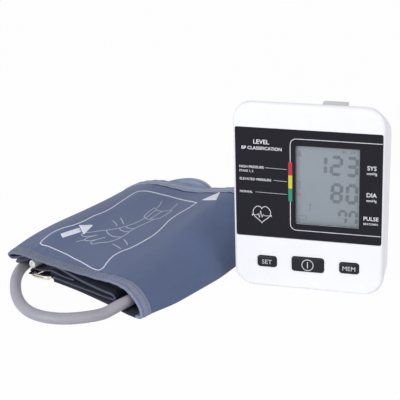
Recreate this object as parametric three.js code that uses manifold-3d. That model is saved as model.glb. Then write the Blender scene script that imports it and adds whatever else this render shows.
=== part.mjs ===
// Automatic blood pressure monitor with its rolled arm cuff, in millimetres, +Z up.
// The monitor stands on its bottom end with its face towards -Y. The origin is the
// middle of that standing face. The cuff lies on the table beside it, rolled flat.
import * as THREE from 'three';
import { mergeVertices } from 'three/addons/utils/BufferGeometryUtils.js';
import Module from 'manifold-3d';

const wasm = await Module();
wasm.setup();

// Driving dimensions of the casing
const FIT = 0.3; // gap between touching pieces
const WIDTH = 104.4; // casing, across its face
const HEIGHT = 134; // casing, standing face to top edge
const CORNER = 13.5; // corners of the face
const EDGE = 3; // rounding round the face and the back
const BASE_DEPTH = 30; // front to back at the standing face
const TOP_DEPTH = 46; // front to back at full height
const WALL = 2.2; // sides and back
const FACE_WALL = 2.8; // behind the face
const PARTING = 8; // depth of the front shell
const SIDE_DRAFT = 0.06; // sides draw in, mm per mm of depth
const END_SLOPE = 0.4; // the top end falls back, mm per mm of depth
const INNER_EDGE = 0.6; // rounding inside the shell
const LAP = 1; // joined shapes run into each other, and cuts past a face

// Display panel, window and screen
const PANEL_WIDTH = 100.2;
const PANEL_HEIGHT = 78.2;
const PANEL_CORNER = 1.2;
const PANEL_THICK = 1.2;
const PANEL_MIDDLE = 77; // height of the panel's middle above the standing face
const WINDOW_WIDTH = 43.6;
const WINDOW_HEIGHT = 56.4;
const WINDOW_CORNER = 1;
const WINDOW_THICK = 0.8;
const WINDOW_X = 13.2; // right of the panel's middle
const WINDOW_RISE = -0.1; // above the panel's middle
const GLASS_THICK = 2.2;
const GLASS_RIM = 2.6; // of the screen's glass behind the window's edge
const HOLDER_RIM = 1.8;
const STRIP_THICK = 2;

// Buttons and their switches
const BUTTON_TRAVEL = 0.8;
const BUTTON_PROUD = 1;
const BUTTON_FLANGE = 1.1;
const FLANGE_THICK = 1.2;
const BUTTON_CORNER = 2;
const BUTTON_HEIGHT = 8;
const START_HEIGHT = 10.6;
const BUTTON_WIDTH = 13.4;
const START_WIDTH = 22.4;
const BUTTON_PITCH = 28.7; // between the middles of the buttons
const BUTTON_Z = 19.5;
const STEM_RADIUS = 2;
const SWITCH_SIDE = 6;
const SWITCH_BODY = 3.4;
const SWITCH_PLUNGER = 1.2;

// Board and what it carries
const BOARD_Y = 12; // front of the board behind the face
const BOARD_THICK = 1.6;
const BOARD_WIDTH = 84;
const BOARD_BOTTOM = 5;
const BOARD_DOWN = 14; // its upper edge below the casing's top
const PILLAR_RADIUS = 2.4;
const PILLAR_INSET = 4; // from the board's sides
const PILLAR_LOW = 27; // above the board's lower edge
const PILLAR_HIGH = 6; // below its upper edge
const CHIP_SIDE = 12;
const CHIP_X = 14;
const CHIP_THICK = 1.6;
const BUZZER_RADIUS = 6;
const BUZZER_X = 30;
const BUZZER_Z = 24;
const BUZZER_THICK = 7;

// Pump, valve, sensor and air way
const PUMP_RADIUS = 10.2;
const MOTOR_LENGTH = 31;
const MOTOR_BOSS_RADIUS = 3;
const MOTOR_BOSS = 2;
const PUMP_HEAD_LENGTH = 24;
const PUMP_HEAD_CORNER = 3;
const PUMP_X = -28.9;
const PUMP_DOWN = 22; // the motor's end below the casing's top
const TUBE_RADIUS = 2.6;
const TUBE_STRAIGHT = 2.5; // run at each end before it bends
const SENSOR_TUBE_RADIUS = 1.8;
const VALVE_TUBE = 6; // between the tee and the valve
const TEE_X = -20;
const TEE_DOWN = 16.7; // below the pump head
const TEE_RADIUS = 3.6;
const TEE_LENGTH = 11;
const VALVE_SIDE = 12;
const VALVE_LENGTH = 15;
const SENSOR_SIDE = 10;
const SENSOR_THICK = 7;
const SENSOR_DOWN = 16; // below the tee
const SOCKET_BORE = 3.5;
const SOCKET_WALL = 1.6;
const SOCKET_FLANGE = 1.8;
const SOCKET_RIM = 1.6; // flange beyond the bush
const SOCKET_FLOOR = 2.5; // closed inner end of the bush
const SOCKET_LENGTH = 15;

// Battery bay, in the slanted back
const CELL_RADIUS = 7.25;
const CELL_LENGTH = 50.5;
const CELLS = 4;
const CELL_GAP = 0.6;
const BAY_X = 15.4; // middle of the bay
const BAY_DOWN = 80; // its lower end below the casing's top
const BAY_BOTTOM = HEIGHT - BAY_DOWN; // along the back
const BAY_WALL = 1.6;
const COVER_THICK = 2;
const COVER_LEDGE = 1.4;
const RIDGES = 4; // thumb ridges on the cover
const RIDGE_PITCH = 3;
const RIDGE_WIDTH = 16;
const RIDGE_THICK = 1.2;
const RIDGE_PROUD = 0.6;
const RIDGE_DOWN = 8; // first ridge below the bay's upper end
const CONTACT_THICK = 0.5;
const SPRING_TURNS = 3;
const SPRING_LENGTH = 3.6;
const SPRING_RADIUS = 5; // of the widest turn
const SPRING_STEP = 1; // each turn is narrower by this
const CONTACT_SHORT = 2; // contact plates end below the cells' tops
const NUB_RADIUS = 2.7;
const NUB_LENGTH = 1;
const LATCH_X = 16.5;
const LATCH_WIDTH = 17;
const LATCH_DEPTH = 5;
const LATCH_TRAVEL = 1.2;
const LATCH_REST = 0.5; // stands out when it is pressed
const LATCH_FOOT = 2; // foot behind the wall, beyond the tab
const LATCH_FOOT_THICK = 2.2;

// Screws and feet
const SCREW_DOWN = 42; // the upper one below the casing's top
const SCREW_BELOW_BAY = 14;
const SCREW_PLACES = [[-43, 10], [43, 10], [-43, HEIGHT - SCREW_DOWN], [43.5, BAY_BOTTOM - SCREW_BELOW_BAY]];
const POST_RADIUS = 3.4;
const SCREW_RADIUS = 1.4;
const HEAD_RADIUS = 2.6;
const HEAD_THICK = 1.8;
const SLOT_WIDTH = 0.8;
const SLOT_DEPTH = 0.7;
const SCREW_SEAT = 20; // depth of the screw heads behind the face
const FOOT_RADIUS = 4.5;
const FOOT_THICK = 2;
const FOOT_SUNK = 0.9;
const FOOT_INSET_X = 12;
const FOOT_LOW = 22;
const FOOT_HIGH = 16; // from the back's top edge
const FOOT_ON_COVER = 7.1; // from the cover's right edge

// Cuff, plug and ring
const CLOTH = 1.8;
const TAPE = 2.2; // cloth with its binding
const TAPE_WIDTH = 9;
const CUFF_WIDTH = 145;
const CUFF_X = -104; // near right corner of the roll on the table
const CUFF_Y = -77.5;
const CUFF_TURN = 22.83; // degrees from +Y towards +X
const CUFF_SKEW = 0.058; // the near edge steps back to the left, mm per mm
const TELESCOPE = 12; // the inner turn stands out of the far end
const TELESCOPE_LIFT = 5;
const SIDE_SAG = 4.6; // the right side sags outwards between its ends
const SHOULDER = 3.4; // the left shoulder stands higher near the front
const ALONG_STEPS = 84; // facets along the cloth
const ACROSS_STEPS = 6;
const LOOP_CLOTH = 1.08; // thinner cloth of the sewn loop
const RING_WIRE = 1.6;
const RING_LENGTH = 152;
const RING_WIDTH = 20;
const RING_CORNER = 4.5;
const RING_PROUD = 4; // beyond the near edge
const HOSE_RADIUS = 4;
const HOSE_STEPS = 52;
const TABLE_GAP = 0.1; // under the hose and the ring
const PLUG_RADIUS = 3.1;
const PLUG_LENGTH = 22;
const PLUG_BORE = 1.3;
const PORT_LENGTH = 16;
const PORT_WIDTH = 10;
const PORT_FLANGE = 1.2;
const PORT_NECK = 12; // of the round stub
const PORT_WEB = 5;
const PORT_RISE = 0.6; // stub above the flange

// Materials
const plastic = (name, color, roughness = 0.45) =>
  new THREE.MeshStandardMaterial({ name, color, roughness, metalness: 0 });
const metal = (name, color, roughness = 0.35) =>
  new THREE.MeshStandardMaterial({ name, color, roughness, metalness: 1 });
const white = plastic('white_casing', 0xf2f5f7, 0.4);
const black = plastic('black_panel', 0x28272c, 0.2);
const clear = new THREE.MeshStandardMaterial({
  name: 'clear_window', color: 0xd5dde0, roughness: 0.08, transparent: true, opacity: 0.3,
});
const screen = plastic('screen_glass', 0x949fa6, 0.25);
const inner = plastic('inner_plastic', 0xd9d9d4, 0.6);
const greyTab = plastic('grey_tab', 0xb8b8ba, 0.5);
const buttonBlack = plastic('button', 0x222226, 0.35);
const board = plastic('board_green', 0x1f6b3a, 0.5);
const dark = plastic('dark_component', 0x1d1d20, 0.5);
const steel = metal('steel', 0xb9bcc0);
const cellSkin = plastic('cell_skin', 0x3b6ea5, 0.35);
const rubber = plastic('rubber', 0x4a4a4c, 0.8);
const silicone = plastic('silicone', 0xdedfd8, 0.6);
const clothBlue = plastic('cuff_cloth', 0x5a6880, 0.85);
const tapeGrey = plastic('binding_tape', 0x868ca2, 0.85);
const hoseGrey = plastic('hose', 0xa4a4ab, 0.55);
const plugWhite = plastic('plug', 0xeef0f0, 0.4);

// Solids and booleans
function toSolid(geometry) {
  const bare = geometry.clone();
  for (const name of Object.keys(bare.attributes)) if (name !== 'position') bare.deleteAttribute(name);
  const merged = mergeVertices(bare, 1e-4);
  const mesh = new wasm.Mesh({
    numProp: 3,
    vertProperties: new Float32Array(merged.attributes.position.array),
    triVerts: new Uint32Array(merged.index.array),
  });
  return new wasm.Manifold(mesh);
}

function toGeometry(solid) {
  const mesh = solid.getMesh();
  const geometry = new THREE.BufferGeometry();
  geometry.setAttribute('position', new THREE.BufferAttribute(new Float32Array(mesh.vertProperties), 3));
  geometry.setIndex(new THREE.BufferAttribute(new Uint32Array(mesh.triVerts), 1));
  geometry.computeVertexNormals();
  return geometry;
}

const join = (first, ...rest) => rest.reduce((a, b) => a.add(b), first);
const cut = (first, ...rest) => rest.reduce((a, b) => a.subtract(b), first);

// A rounded rectangle as a shape, its middle at (x, y)
function roundedShape(width, height, radius, x = 0, y = 0) {
  const [a, b, r] = [width / 2, height / 2, Math.min(radius, width / 2 - 0.01, height / 2 - 0.01)];
  const shape = new THREE.Shape();
  shape.moveTo(x - a + r, y - b);
  shape.lineTo(x + a - r, y - b);
  shape.absarc(x + a - r, y - b + r, r, -Math.PI / 2, 0);
  shape.lineTo(x + a, y + b - r);
  shape.absarc(x + a - r, y + b - r, r, 0, Math.PI / 2);
  shape.lineTo(x - a + r, y + b);
  shape.absarc(x - a + r, y + b - r, r, Math.PI / 2, Math.PI);
  shape.lineTo(x - a, y - b + r);
  shape.absarc(x - a + r, y - b + r, r, Math.PI, Math.PI * 1.5);
  return shape;
}

// A shape drawn in X and Z, drawn out along Y from one depth to another
function alongY(shape, from, to, curveSegments = 5) {
  const geometry = new THREE.ExtrudeGeometry(shape, { depth: to - from, bevelEnabled: false, curveSegments });
  return geometry.rotateX(Math.PI / 2).translate(0, to, 0);
}

// A block between two corners
function block(x0, x1, y0, y1, z0, z1) {
  return new THREE.BoxGeometry(x1 - x0, y1 - y0, z1 - z0)
    .translate((x0 + x1) / 2, (y0 + y1) / 2, (z0 + z1) / 2);
}

// A round rod from one point to another
function rod(radius, start, end, sides = 20) {
  const [a, b] = [new THREE.Vector3(...start), new THREE.Vector3(...end)];
  const way = b.clone().sub(a);
  const geometry = new THREE.CylinderGeometry(radius, radius, way.length(), sides);
  const turn = new THREE.Quaternion().setFromUnitVectors(new THREE.Vector3(0, 1, 0), way.clone().normalize());
  const middle = a.add(b).multiplyScalar(0.5);
  return geometry.applyQuaternion(turn).translate(middle.x, middle.y, middle.z);
}

// A tube along a curve
function tube(radius, points, steps, sides = 12) {
  const curve = new THREE.CatmullRomCurve3(points.map((p) => new THREE.Vector3(...p)), false, 'centripetal');
  const section = new THREE.Shape();
  for (let i = 0; i < sides; i += 1) {
    const angle = (2 * Math.PI * i) / sides;
    const [x, y] = [radius * Math.cos(angle), radius * Math.sin(angle)];
    if (i === 0) section.moveTo(x, y);
    else section.lineTo(x, y);
  }
  return new THREE.ExtrudeGeometry(section, { steps, extrudePath: curve, bevelEnabled: false });
}

// A closed solid through rings of equally many points, capped by a fan at each end
function loft(rings) {
  const count = rings[0].length;
  const points = rings.flat();
  const faces = [];
  for (let k = 0; k + 1 < rings.length; k += 1) {
    for (let i = 0; i < count; i += 1) {
      const [a, b] = [k * count + i, k * count + ((i + 1) % count)];
      faces.push(a, b, b + count, a, b + count, a + count);
    }
  }
  for (const [k, flip] of [[0, true], [rings.length - 1, false]]) {
    const middle = new THREE.Vector3();
    for (const p of rings[k]) middle.addScaledVector(p, 1 / count);
    points.push(middle);
    const hub = points.length - 1;
    for (let i = 0; i < count; i += 1) {
      const [a, b] = [k * count + i, k * count + ((i + 1) % count)];
      faces.push(...(flip ? [b, a, hub] : [a, b, hub]));
    }
  }
  return meshFrom(points, faces);
}

function meshFrom(points, faces) {
  let volume = 0;
  for (let i = 0; i < faces.length; i += 3) {
    const [a, b, c] = [points[faces[i]], points[faces[i + 1]], points[faces[i + 2]]];
    volume += a.dot(new THREE.Vector3().crossVectors(b, c));
  }
  if (volume < 0) faces.reverse();
  const geometry = new THREE.BufferGeometry().setFromPoints(points);
  geometry.setIndex(faces);
  geometry.computeVertexNormals();
  return geometry;
}

// Slanted back: a frame whose Y is the back's outward normal and whose Z climbs along it
const backAngle = Math.atan((TOP_DEPTH - BASE_DEPTH) / HEIGHT);
const backFrame = new THREE.Matrix4()
  .makeRotationX(-backAngle)
  .setPosition(0, BASE_DEPTH, 0);
const onBack = (geometry) => geometry.applyMatrix4(backFrame);
const depthAt = (z) => BASE_DEPTH + ((TOP_DEPTH - BASE_DEPTH) * z) / HEIGHT;
const endHeight = (depth) => HEIGHT - END_SLOPE * Math.max(0, depth - EDGE);

// One outline of the casing: half its width, its low and its high edge
function outline(half, low, high, corner, place, arcSteps = 6) {
  const ring = [];
  const corners = [[half, low, -1, 0], [half, high, 0, 1], [-half, high, 1, 2], [-half, low, 2, 3]];
  for (const [x, z, quarter] of corners) {
    const middleX = x - Math.sign(x) * corner;
    const middleZ = z === low ? z + corner : z - corner;
    for (let i = 0; i <= arcSteps; i += 1) {
      const angle = (quarter + i / arcSteps) * (Math.PI / 2);
      ring.push(place(middleX + corner * Math.cos(angle), middleZ + corner * Math.sin(angle)));
    }
  }
  return ring;
}

// Roundings as pairs of depth and inset, from the face inwards
function rounding(radius, steps = 4) {
  const pairs = [];
  for (let i = 0; i <= steps; i += 1) {
    const angle = (i / steps) * (Math.PI / 2);
    pairs.push([radius * (1 - Math.cos(angle)), radius * (1 - Math.sin(angle))]);
  }
  return pairs;
}

// The casing's outer form, or its cavity where it is drawn in by the walls
function casingForm(side, front, back) {
  const deep = 1.5 * TOP_DEPTH;
  const radius = Math.max(EDGE - side, INNER_EDGE);
  const corner = CORNER - side;
  const fromFace = [...rounding(radius), [deep, 0]].map(([depth, inset]) => {
    const y = front + depth;
    const half = WIDTH / 2 - side - inset - SIDE_DRAFT * y;
    return outline(half, side + inset, endHeight(y) - side - inset, Math.max(corner - inset, LAP),
      (x, z) => new THREE.Vector3(x, y, z));
  });
  const [sin, cos] = [Math.sin(backAngle), Math.cos(backAngle)];
  const highEdge = (n) => (HEIGHT - END_SLOPE * (BASE_DEPTH - EDGE) - n * (END_SLOPE * cos - sin))
    / (cos + END_SLOPE * sin);
  const middleDepth = (BASE_DEPTH + TOP_DEPTH) / 2;
  const fromBack = [...rounding(radius), [radius + LAP, -EDGE], [deep, -EDGE]].map(([depth, inset]) => {
    const n = -back - depth;
    const half = WIDTH / 2 - side - inset - SIDE_DRAFT * middleDepth;
    const low = side + inset + n * Math.tan(backAngle);
    return outline(half, low, highEdge(n) - side - inset, Math.max(corner - inset, LAP),
      (x, w) => new THREE.Vector3(x, n, w).applyMatrix4(backFrame));
  });
  return toSolid(loft(fromFace)).intersect(toSolid(loft(fromBack)));
}

const farOut = 3 * HEIGHT;
const frontHalf = (depth) => toSolid(block(-farOut, farOut, -farOut, depth, -farOut, farOut));
const rearHalf = (depth) => toSolid(block(-farOut, farOut, depth, farOut, -farOut, farOut));

// Places that several pieces share
const windowZ = PANEL_MIDDLE + WINDOW_RISE;
const boardBack = BOARD_Y + BOARD_THICK;
const boardTop = HEIGHT - BOARD_DOWN;
const pumpY = boardBack + FIT + PUMP_RADIUS;
const motorTop = HEIGHT - PUMP_DOWN;
const headTop = motorTop - MOTOR_LENGTH - FIT;
const headBottom = headTop - PUMP_HEAD_LENGTH;
const teeZ = headBottom - TEE_DOWN;
const sensorZ = teeZ - SENSOR_DOWN;
const teeY = boardBack + FIT + VALVE_SIDE / 2;
const innerSide = (depth) => WIDTH / 2 - WALL - SIDE_DRAFT * depth;
const buttons = [
  { name: 'set_button', x: -BUTTON_PITCH, width: BUTTON_WIDTH, height: BUTTON_HEIGHT },
  { name: 'start_button', x: 0, width: START_WIDTH, height: START_HEIGHT },
  { name: 'memory_button', x: BUTTON_PITCH, width: BUTTON_WIDTH, height: BUTTON_HEIGHT },
];
const bayWidth = CELLS * 2 * CELL_RADIUS + (CELLS + 1) * CELL_GAP;
const bayLength = CELL_LENGTH + NUB_LENGTH + SPRING_LENGTH + 2 * CONTACT_THICK + 5 * FIT;
const cellN = -(COVER_THICK + 2 * FIT + CELL_RADIUS);
const bayFloor = cellN - CELL_RADIUS - FIT;

// Screen: glass in a holder that stands on the board, with a contact strip below
const glassFront = FACE_WALL + FIT;
const glassBack = glassFront + GLASS_THICK;
const holderHalf = [WINDOW_WIDTH / 2 + GLASS_RIM + FIT, WINDOW_HEIGHT / 2 + GLASS_RIM + FIT];
const stripZ = windowZ - WINDOW_HEIGHT / 2 + STRIP_THICK;

// Board pillars, clear of the screw posts and of the screen's holder
const pillarX = BOARD_WIDTH / 2 - PILLAR_INSET;
const [pillarLow, pillarHigh] = [BOARD_BOTTOM + PILLAR_LOW, boardTop - PILLAR_HIGH];
const besideHolder = WINDOW_X - holderHalf[0] - HOLDER_RIM - PILLAR_RADIUS - FIT;
const pillarPlaces = [[-pillarX, pillarLow], [pillarX, pillarLow], [-pillarX, pillarHigh], [besideHolder, pillarHigh]];

function frontCasing() {
  const recess = PANEL_THICK + FIT;
  let solid = cut(casingForm(0, 0, 0), casingForm(WALL, FACE_WALL, WALL)).intersect(frontHalf(PARTING));
  const bosses = SCREW_PLACES.map(([x, z]) => toSolid(rod(POST_RADIUS, [x, EDGE / 2, z], [x, PARTING, z])));
  const pillars = pillarPlaces.map(([x, z]) => toSolid(rod(PILLAR_RADIUS, [x, EDGE / 2, z], [x, BOARD_Y - FIT, z])));
  solid = join(solid, ...bosses, ...pillars);
  const panel = roundedShape(PANEL_WIDTH + 2 * FIT, PANEL_HEIGHT + 2 * FIT, PANEL_CORNER + FIT, 0, PANEL_MIDDLE);
  const opening = roundedShape(WINDOW_WIDTH, WINDOW_HEIGHT, WINDOW_CORNER, WINDOW_X, windowZ);
  const holes = buttons.map((b) => toSolid(alongY(
    roundedShape(b.width + 2 * FIT, b.height + 2 * FIT, BUTTON_CORNER + FIT, b.x, BUTTON_Z), -LAP, EDGE + LAP)));
  const pilots = SCREW_PLACES.map(([x, z]) => toSolid(
    rod(SCREW_RADIUS + FIT, [x, FACE_WALL, z], [x, PARTING + LAP, z], 12)));
  return cut(solid, toSolid(alongY(panel, -LAP, recess)), toSolid(alongY(opening, -LAP, FACE_WALL + LAP)),
    ...holes, ...pilots);
}

function rearCasing() {
  const split = PARTING + FIT;
  const outer = casingForm(0, 0, 0);
  let solid = cut(outer, casingForm(WALL, FACE_WALL, WALL)).intersect(rearHalf(split));
  const half = bayWidth / 2;
  const tub = toSolid(onBack(block(BAY_X - half - BAY_WALL, BAY_X + half + BAY_WALL, bayFloor - BAY_WALL, -WALL / 2,
    BAY_BOTTOM - BAY_WALL, BAY_BOTTOM + bayLength + BAY_WALL))).intersect(outer);
  const rimOut = COVER_LEDGE + FIT + BAY_WALL;
  const rim = toSolid(onBack(block(BAY_X - half - rimOut, BAY_X + half + rimOut, -(COVER_THICK + FIT + BAY_WALL),
    -WALL / 2, BAY_BOTTOM - rimOut, BAY_BOTTOM + bayLength + rimOut))).intersect(outer);
  const posts = SCREW_PLACES.map(([x, z]) => toSolid(
    rod(POST_RADIUS, [x, split, z], [x, depthAt(z) - WALL / 2, z])));
  solid = join(solid, tub, rim, ...posts);
  const bay = toSolid(onBack(block(BAY_X - half, BAY_X + half, bayFloor, LAP, BAY_BOTTOM,
    BAY_BOTTOM + bayLength)));
  const mouth = toSolid(onBack(coverForm(FIT, LAP)));
  const bores = SCREW_PLACES.flatMap(([x, z]) => [
    toSolid(rod(SCREW_RADIUS + FIT, [x, split - LAP, z], [x, SCREW_SEAT, z], 12)),
    toSolid(rod(HEAD_RADIUS + FIT, [x, SCREW_SEAT, z], [x, depthAt(z) + 2 * LAP, z])),
  ]);
  const feet = footPlaces().map(([x, w]) => toSolid(onBack(
    rod(FOOT_RADIUS + FIT, [x, LAP, w], [x, -FOOT_SUNK, w]))));
  const reach = SOCKET_BORE + SOCKET_WALL + FIT;
  const socketHole = toSolid(rod(reach, [-WIDTH, teeY, teeZ], [-innerSide(teeY) + LAP, teeY, teeZ]));
  const [lx, ly] = [LATCH_WIDTH / 2 + FIT, latchY() + LATCH_DEPTH / 2 + FIT];
  const latchSlot = toSolid(block(LATCH_X - lx, LATCH_X + lx, split - LAP, ly,
    endHeight(ly) - 3 * WALL, HEIGHT + LAP));
  return cut(solid, bay, mouth, ...bores, ...feet, socketHole, latchSlot);
}

// Cover over the bay, in the back's frame, with a ledge all round
function coverForm(grow, proud) {
  const half = bayWidth / 2 + COVER_LEDGE + grow;
  const [low, high] = [BAY_BOTTOM - COVER_LEDGE - grow, BAY_BOTTOM + bayLength + COVER_LEDGE + grow];
  const shape = roundedShape(2 * half, high - low, COVER_LEDGE, BAY_X, (low + high) / 2);
  return alongY(shape, -COVER_THICK - grow, proud);
}

// Cover: plate with thumb ridges, and a recess for the foot that it carries
function batteryCover() {
  const ridges = [];
  for (let i = 0; i < RIDGES; i += 1) {
    const w = BAY_BOTTOM + bayLength - RIDGE_DOWN - RIDGE_PITCH * i;
    ridges.push(toSolid(block(BAY_X - RIDGE_WIDTH / 2, BAY_X + RIDGE_WIDTH / 2, -LAP, RIDGE_PROUD,
      w, w + RIDGE_THICK)));
  }
  const [x, w] = footPlaces()[3];
  const seat = toSolid(rod(FOOT_RADIUS + FIT, [x, LAP, w], [x, -FOOT_SUNK, w]));
  const solid = cut(join(toSolid(coverForm(0, 0)), ...ridges), seat);
  return toGeometry(solid).applyMatrix4(backFrame);
}

// Latch tab through the top end wall, with its foot behind the wall
const latchY = () => PARTING + 2 * FIT + LATCH_DEPTH / 2;

function coverLatch() {
  const [x0, x1] = [LATCH_X - LATCH_WIDTH / 2, LATCH_X + LATCH_WIDTH / 2];
  const [y0, y1] = [latchY() - LATCH_DEPTH / 2, latchY() + LATCH_DEPTH / 2];
  const top = endHeight(y0) + LATCH_TRAVEL + LATCH_REST;
  const footTop = endHeight(y1 + LATCH_FOOT) - WALL - 2 * FIT;
  const footUnder = footTop - LATCH_FOOT_THICK;
  const tab = toSolid(block(x0, x1, y0, y1, footUnder + LAP, top));
  const foot = toSolid(block(x0 - LATCH_FOOT, x1 + LATCH_FOOT, y0, y1 + LATCH_FOOT, footUnder, footTop));
  return join(tab, foot);
}

// Feet on the back, the last one on the cover
function footPlaces() {
  const high = endHeight(TOP_DEPTH) - FOOT_HIGH;
  const x = WIDTH / 2 - FOOT_INSET_X;
  const onCover = BAY_X + bayWidth / 2 + COVER_LEDGE - FOOT_ON_COVER;
  return [[-x, FOOT_LOW], [x, FOOT_LOW], [-x, high], [onCover, high]];
}

function displayPanel() {
  const outer = roundedShape(PANEL_WIDTH, PANEL_HEIGHT, PANEL_CORNER, 0, PANEL_MIDDLE);
  const hole = roundedShape(WINDOW_WIDTH, WINDOW_HEIGHT, WINDOW_CORNER, WINDOW_X, windowZ);
  return cut(toSolid(alongY(outer, 0, PANEL_THICK)), toSolid(alongY(hole, -LAP, PANEL_THICK + LAP)));
}

function displayWindow() {
  const shape = roundedShape(WINDOW_WIDTH - 2 * FIT, WINDOW_HEIGHT - 2 * FIT, WINDOW_CORNER, WINDOW_X, windowZ);
  return alongY(shape, PANEL_THICK - WINDOW_THICK, PANEL_THICK);
}

function lcdHolder() {
  const [a, b] = [holderHalf[0] + HOLDER_RIM, holderHalf[1] + HOLDER_RIM];
  const body = toSolid(block(WINDOW_X - a, WINDOW_X + a, glassFront, BOARD_Y - FIT, windowZ - b, windowZ + b));
  const pocket = toSolid(block(WINDOW_X - holderHalf[0], WINDOW_X + holderHalf[0], glassFront - LAP, glassBack + FIT,
    windowZ - holderHalf[1], windowZ + holderHalf[1]));
  const slotHalf = WINDOW_WIDTH / 2 + FIT;
  const slot = toSolid(block(WINDOW_X - slotHalf, WINDOW_X + slotHalf, glassBack, BOARD_Y,
    stripZ - STRIP_THICK / 2 - FIT, stripZ + STRIP_THICK / 2 + FIT));
  return cut(body, pocket, slot);
}

function pushButton({ x, width, height }) {
  const cap = toSolid(alongY(roundedShape(width, height, BUTTON_CORNER, x, BUTTON_Z), -BUTTON_PROUD, FACE_WALL + FIT));
  const flangeFront = FACE_WALL + FIT;
  const grow = 2 * BUTTON_FLANGE;
  const flange = toSolid(alongY(roundedShape(width + grow, height + grow, BUTTON_CORNER, x, BUTTON_Z),
    flangeFront, flangeFront + FLANGE_THICK));
  const stemEnd = switchTop - BUTTON_TRAVEL - FIT;
  const stem = toSolid(rod(STEM_RADIUS, [x, flangeFront + FLANGE_THICK / 2, BUTTON_Z], [x, stemEnd, BUTTON_Z]));
  return join(cap, flange, stem);
}

const switchFront = BOARD_Y - FIT - SWITCH_BODY;
const switchTop = switchFront - SWITCH_PLUNGER;

function buttonSwitch({ x }) {
  const half = SWITCH_SIDE / 2;
  const body = toSolid(block(x - half, x + half, switchFront, BOARD_Y - FIT, BUTTON_Z - half, BUTTON_Z + half));
  return join(body, toSolid(rod(STEM_RADIUS, [x, switchFront + LAP, BUTTON_Z], [x, switchTop, BUTTON_Z], 16)));
}

// Board with notches for the screw posts
function mainBoard() {
  const half = BOARD_WIDTH / 2;
  const plate = toSolid(block(-half, half, BOARD_Y, boardBack, BOARD_BOTTOM, boardTop));
  const notches = SCREW_PLACES.map(([x, z]) => toSolid(
    rod(POST_RADIUS + FIT, [x, BOARD_Y - LAP, z], [x, boardBack + LAP, z])));
  return cut(plate, ...notches);
}

// Pump: motor can above, diaphragm head below, both resting on the board's back
function pumpMotor() {
  const can = toSolid(rod(PUMP_RADIUS, [PUMP_X, pumpY, motorTop - MOTOR_LENGTH], [PUMP_X, pumpY, motorTop], 28));
  return join(can, toSolid(rod(MOTOR_BOSS_RADIUS, [PUMP_X, pumpY, motorTop - LAP],
    [PUMP_X, pumpY, motorTop + MOTOR_BOSS], 16)));
}

function pumpHead() {
  const shape = roundedShape(2 * PUMP_RADIUS, 2 * PUMP_RADIUS, PUMP_HEAD_CORNER);
  const geometry = new THREE.ExtrudeGeometry(shape, { depth: PUMP_HEAD_LENGTH, bevelEnabled: false, curveSegments: 4 })
    .translate(PUMP_X, pumpY, headBottom);
  return toSolid(geometry);
}

function airTee() {
  const half = TEE_LENGTH / 2;
  const upright = toSolid(rod(TEE_RADIUS, [TEE_X, teeY, teeZ - half], [TEE_X, teeY, teeZ + half]));
  return join(upright, toSolid(rod(TEE_RADIUS, [TEE_X - half, teeY, teeZ], [TEE_X + half, teeY, teeZ])));
}

function releaseValve() {
  const x0 = valveX;
  const half = VALVE_SIDE / 2;
  return block(x0, x0 + VALVE_LENGTH, teeY - half, teeY + half, teeZ - half, teeZ + half);
}
const valveX = TEE_X + TEE_LENGTH / 2 + VALVE_TUBE;
const socketInner = -innerSide(teeY) + SOCKET_LENGTH - WALL;

// Socket: flanged bush in the left wall, bored for the plug
function airSocket() {
  const outerX = -WIDTH / 2 + SIDE_DRAFT * teeY;
  const reach = SOCKET_BORE + SOCKET_WALL;
  const body = toSolid(rod(reach, [outerX + FIT, teeY, teeZ], [socketInner, teeY, teeZ], 24));
  const flangeReach = reach + SOCKET_RIM;
  const wallX = -innerSide(teeY + flangeReach) + FIT;
  const flange = toSolid(rod(flangeReach, [wallX, teeY, teeZ], [wallX + SOCKET_FLANGE, teeY, teeZ], 24));
  const bore = toSolid(rod(SOCKET_BORE, [outerX - LAP, teeY, teeZ], [socketInner - SOCKET_FLOOR, teeY, teeZ], 16));
  return cut(join(body, flange), bore);
}

const pumpTube = () => tube(TUBE_RADIUS, [
  [PUMP_X, pumpY, headBottom - FIT], [PUMP_X, pumpY, headBottom - TUBE_STRAIGHT],
  [TEE_X, teeY, teeZ + TEE_LENGTH / 2 + TUBE_STRAIGHT], [TEE_X, teeY, teeZ + TEE_LENGTH / 2 + FIT]], 10);
const socketTube = () => rod(TUBE_RADIUS, [socketInner + FIT, teeY, teeZ],
  [TEE_X - TEE_LENGTH / 2 - FIT, teeY, teeZ], 14);
const valveTube = () => rod(TUBE_RADIUS, [TEE_X + TEE_LENGTH / 2 + FIT, teeY, teeZ], [valveX - FIT, teeY, teeZ], 14);
const sensorTop = sensorZ + SENSOR_SIDE / 2;
const sensorTube = () => rod(SENSOR_TUBE_RADIUS, [TEE_X, teeY, sensorTop + FIT],
  [TEE_X, teeY, teeZ - TEE_LENGTH / 2 - FIT], 14);

function pressureSensor() {
  const half = SENSOR_SIDE / 2;
  return block(TEE_X - half, TEE_X + half, boardBack + FIT, boardBack + FIT + SENSOR_THICK, sensorZ - half, sensorTop);
}

// Cells side by side, every second one turned over
function cell(index) {
  const x = BAY_X + (index - (CELLS - 1) / 2) * (2 * CELL_RADIUS + CELL_GAP);
  const up = index % 2 === 0;
  const low = BAY_BOTTOM + CONTACT_THICK + 2 * FIT + (up ? SPRING_LENGTH + FIT : NUB_LENGTH);
  const body = toSolid(onBack(rod(CELL_RADIUS, [x, cellN, low], [x, cellN, low + CELL_LENGTH], 24)));
  const nub = up
    ? rod(NUB_RADIUS, [x, cellN, low + CELL_LENGTH - LAP], [x, cellN, low + CELL_LENGTH + NUB_LENGTH], 16)
    : rod(NUB_RADIUS, [x, cellN, low - NUB_LENGTH], [x, cellN, low + LAP], 16);
  return join(body, toSolid(onBack(nub)));
}

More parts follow.
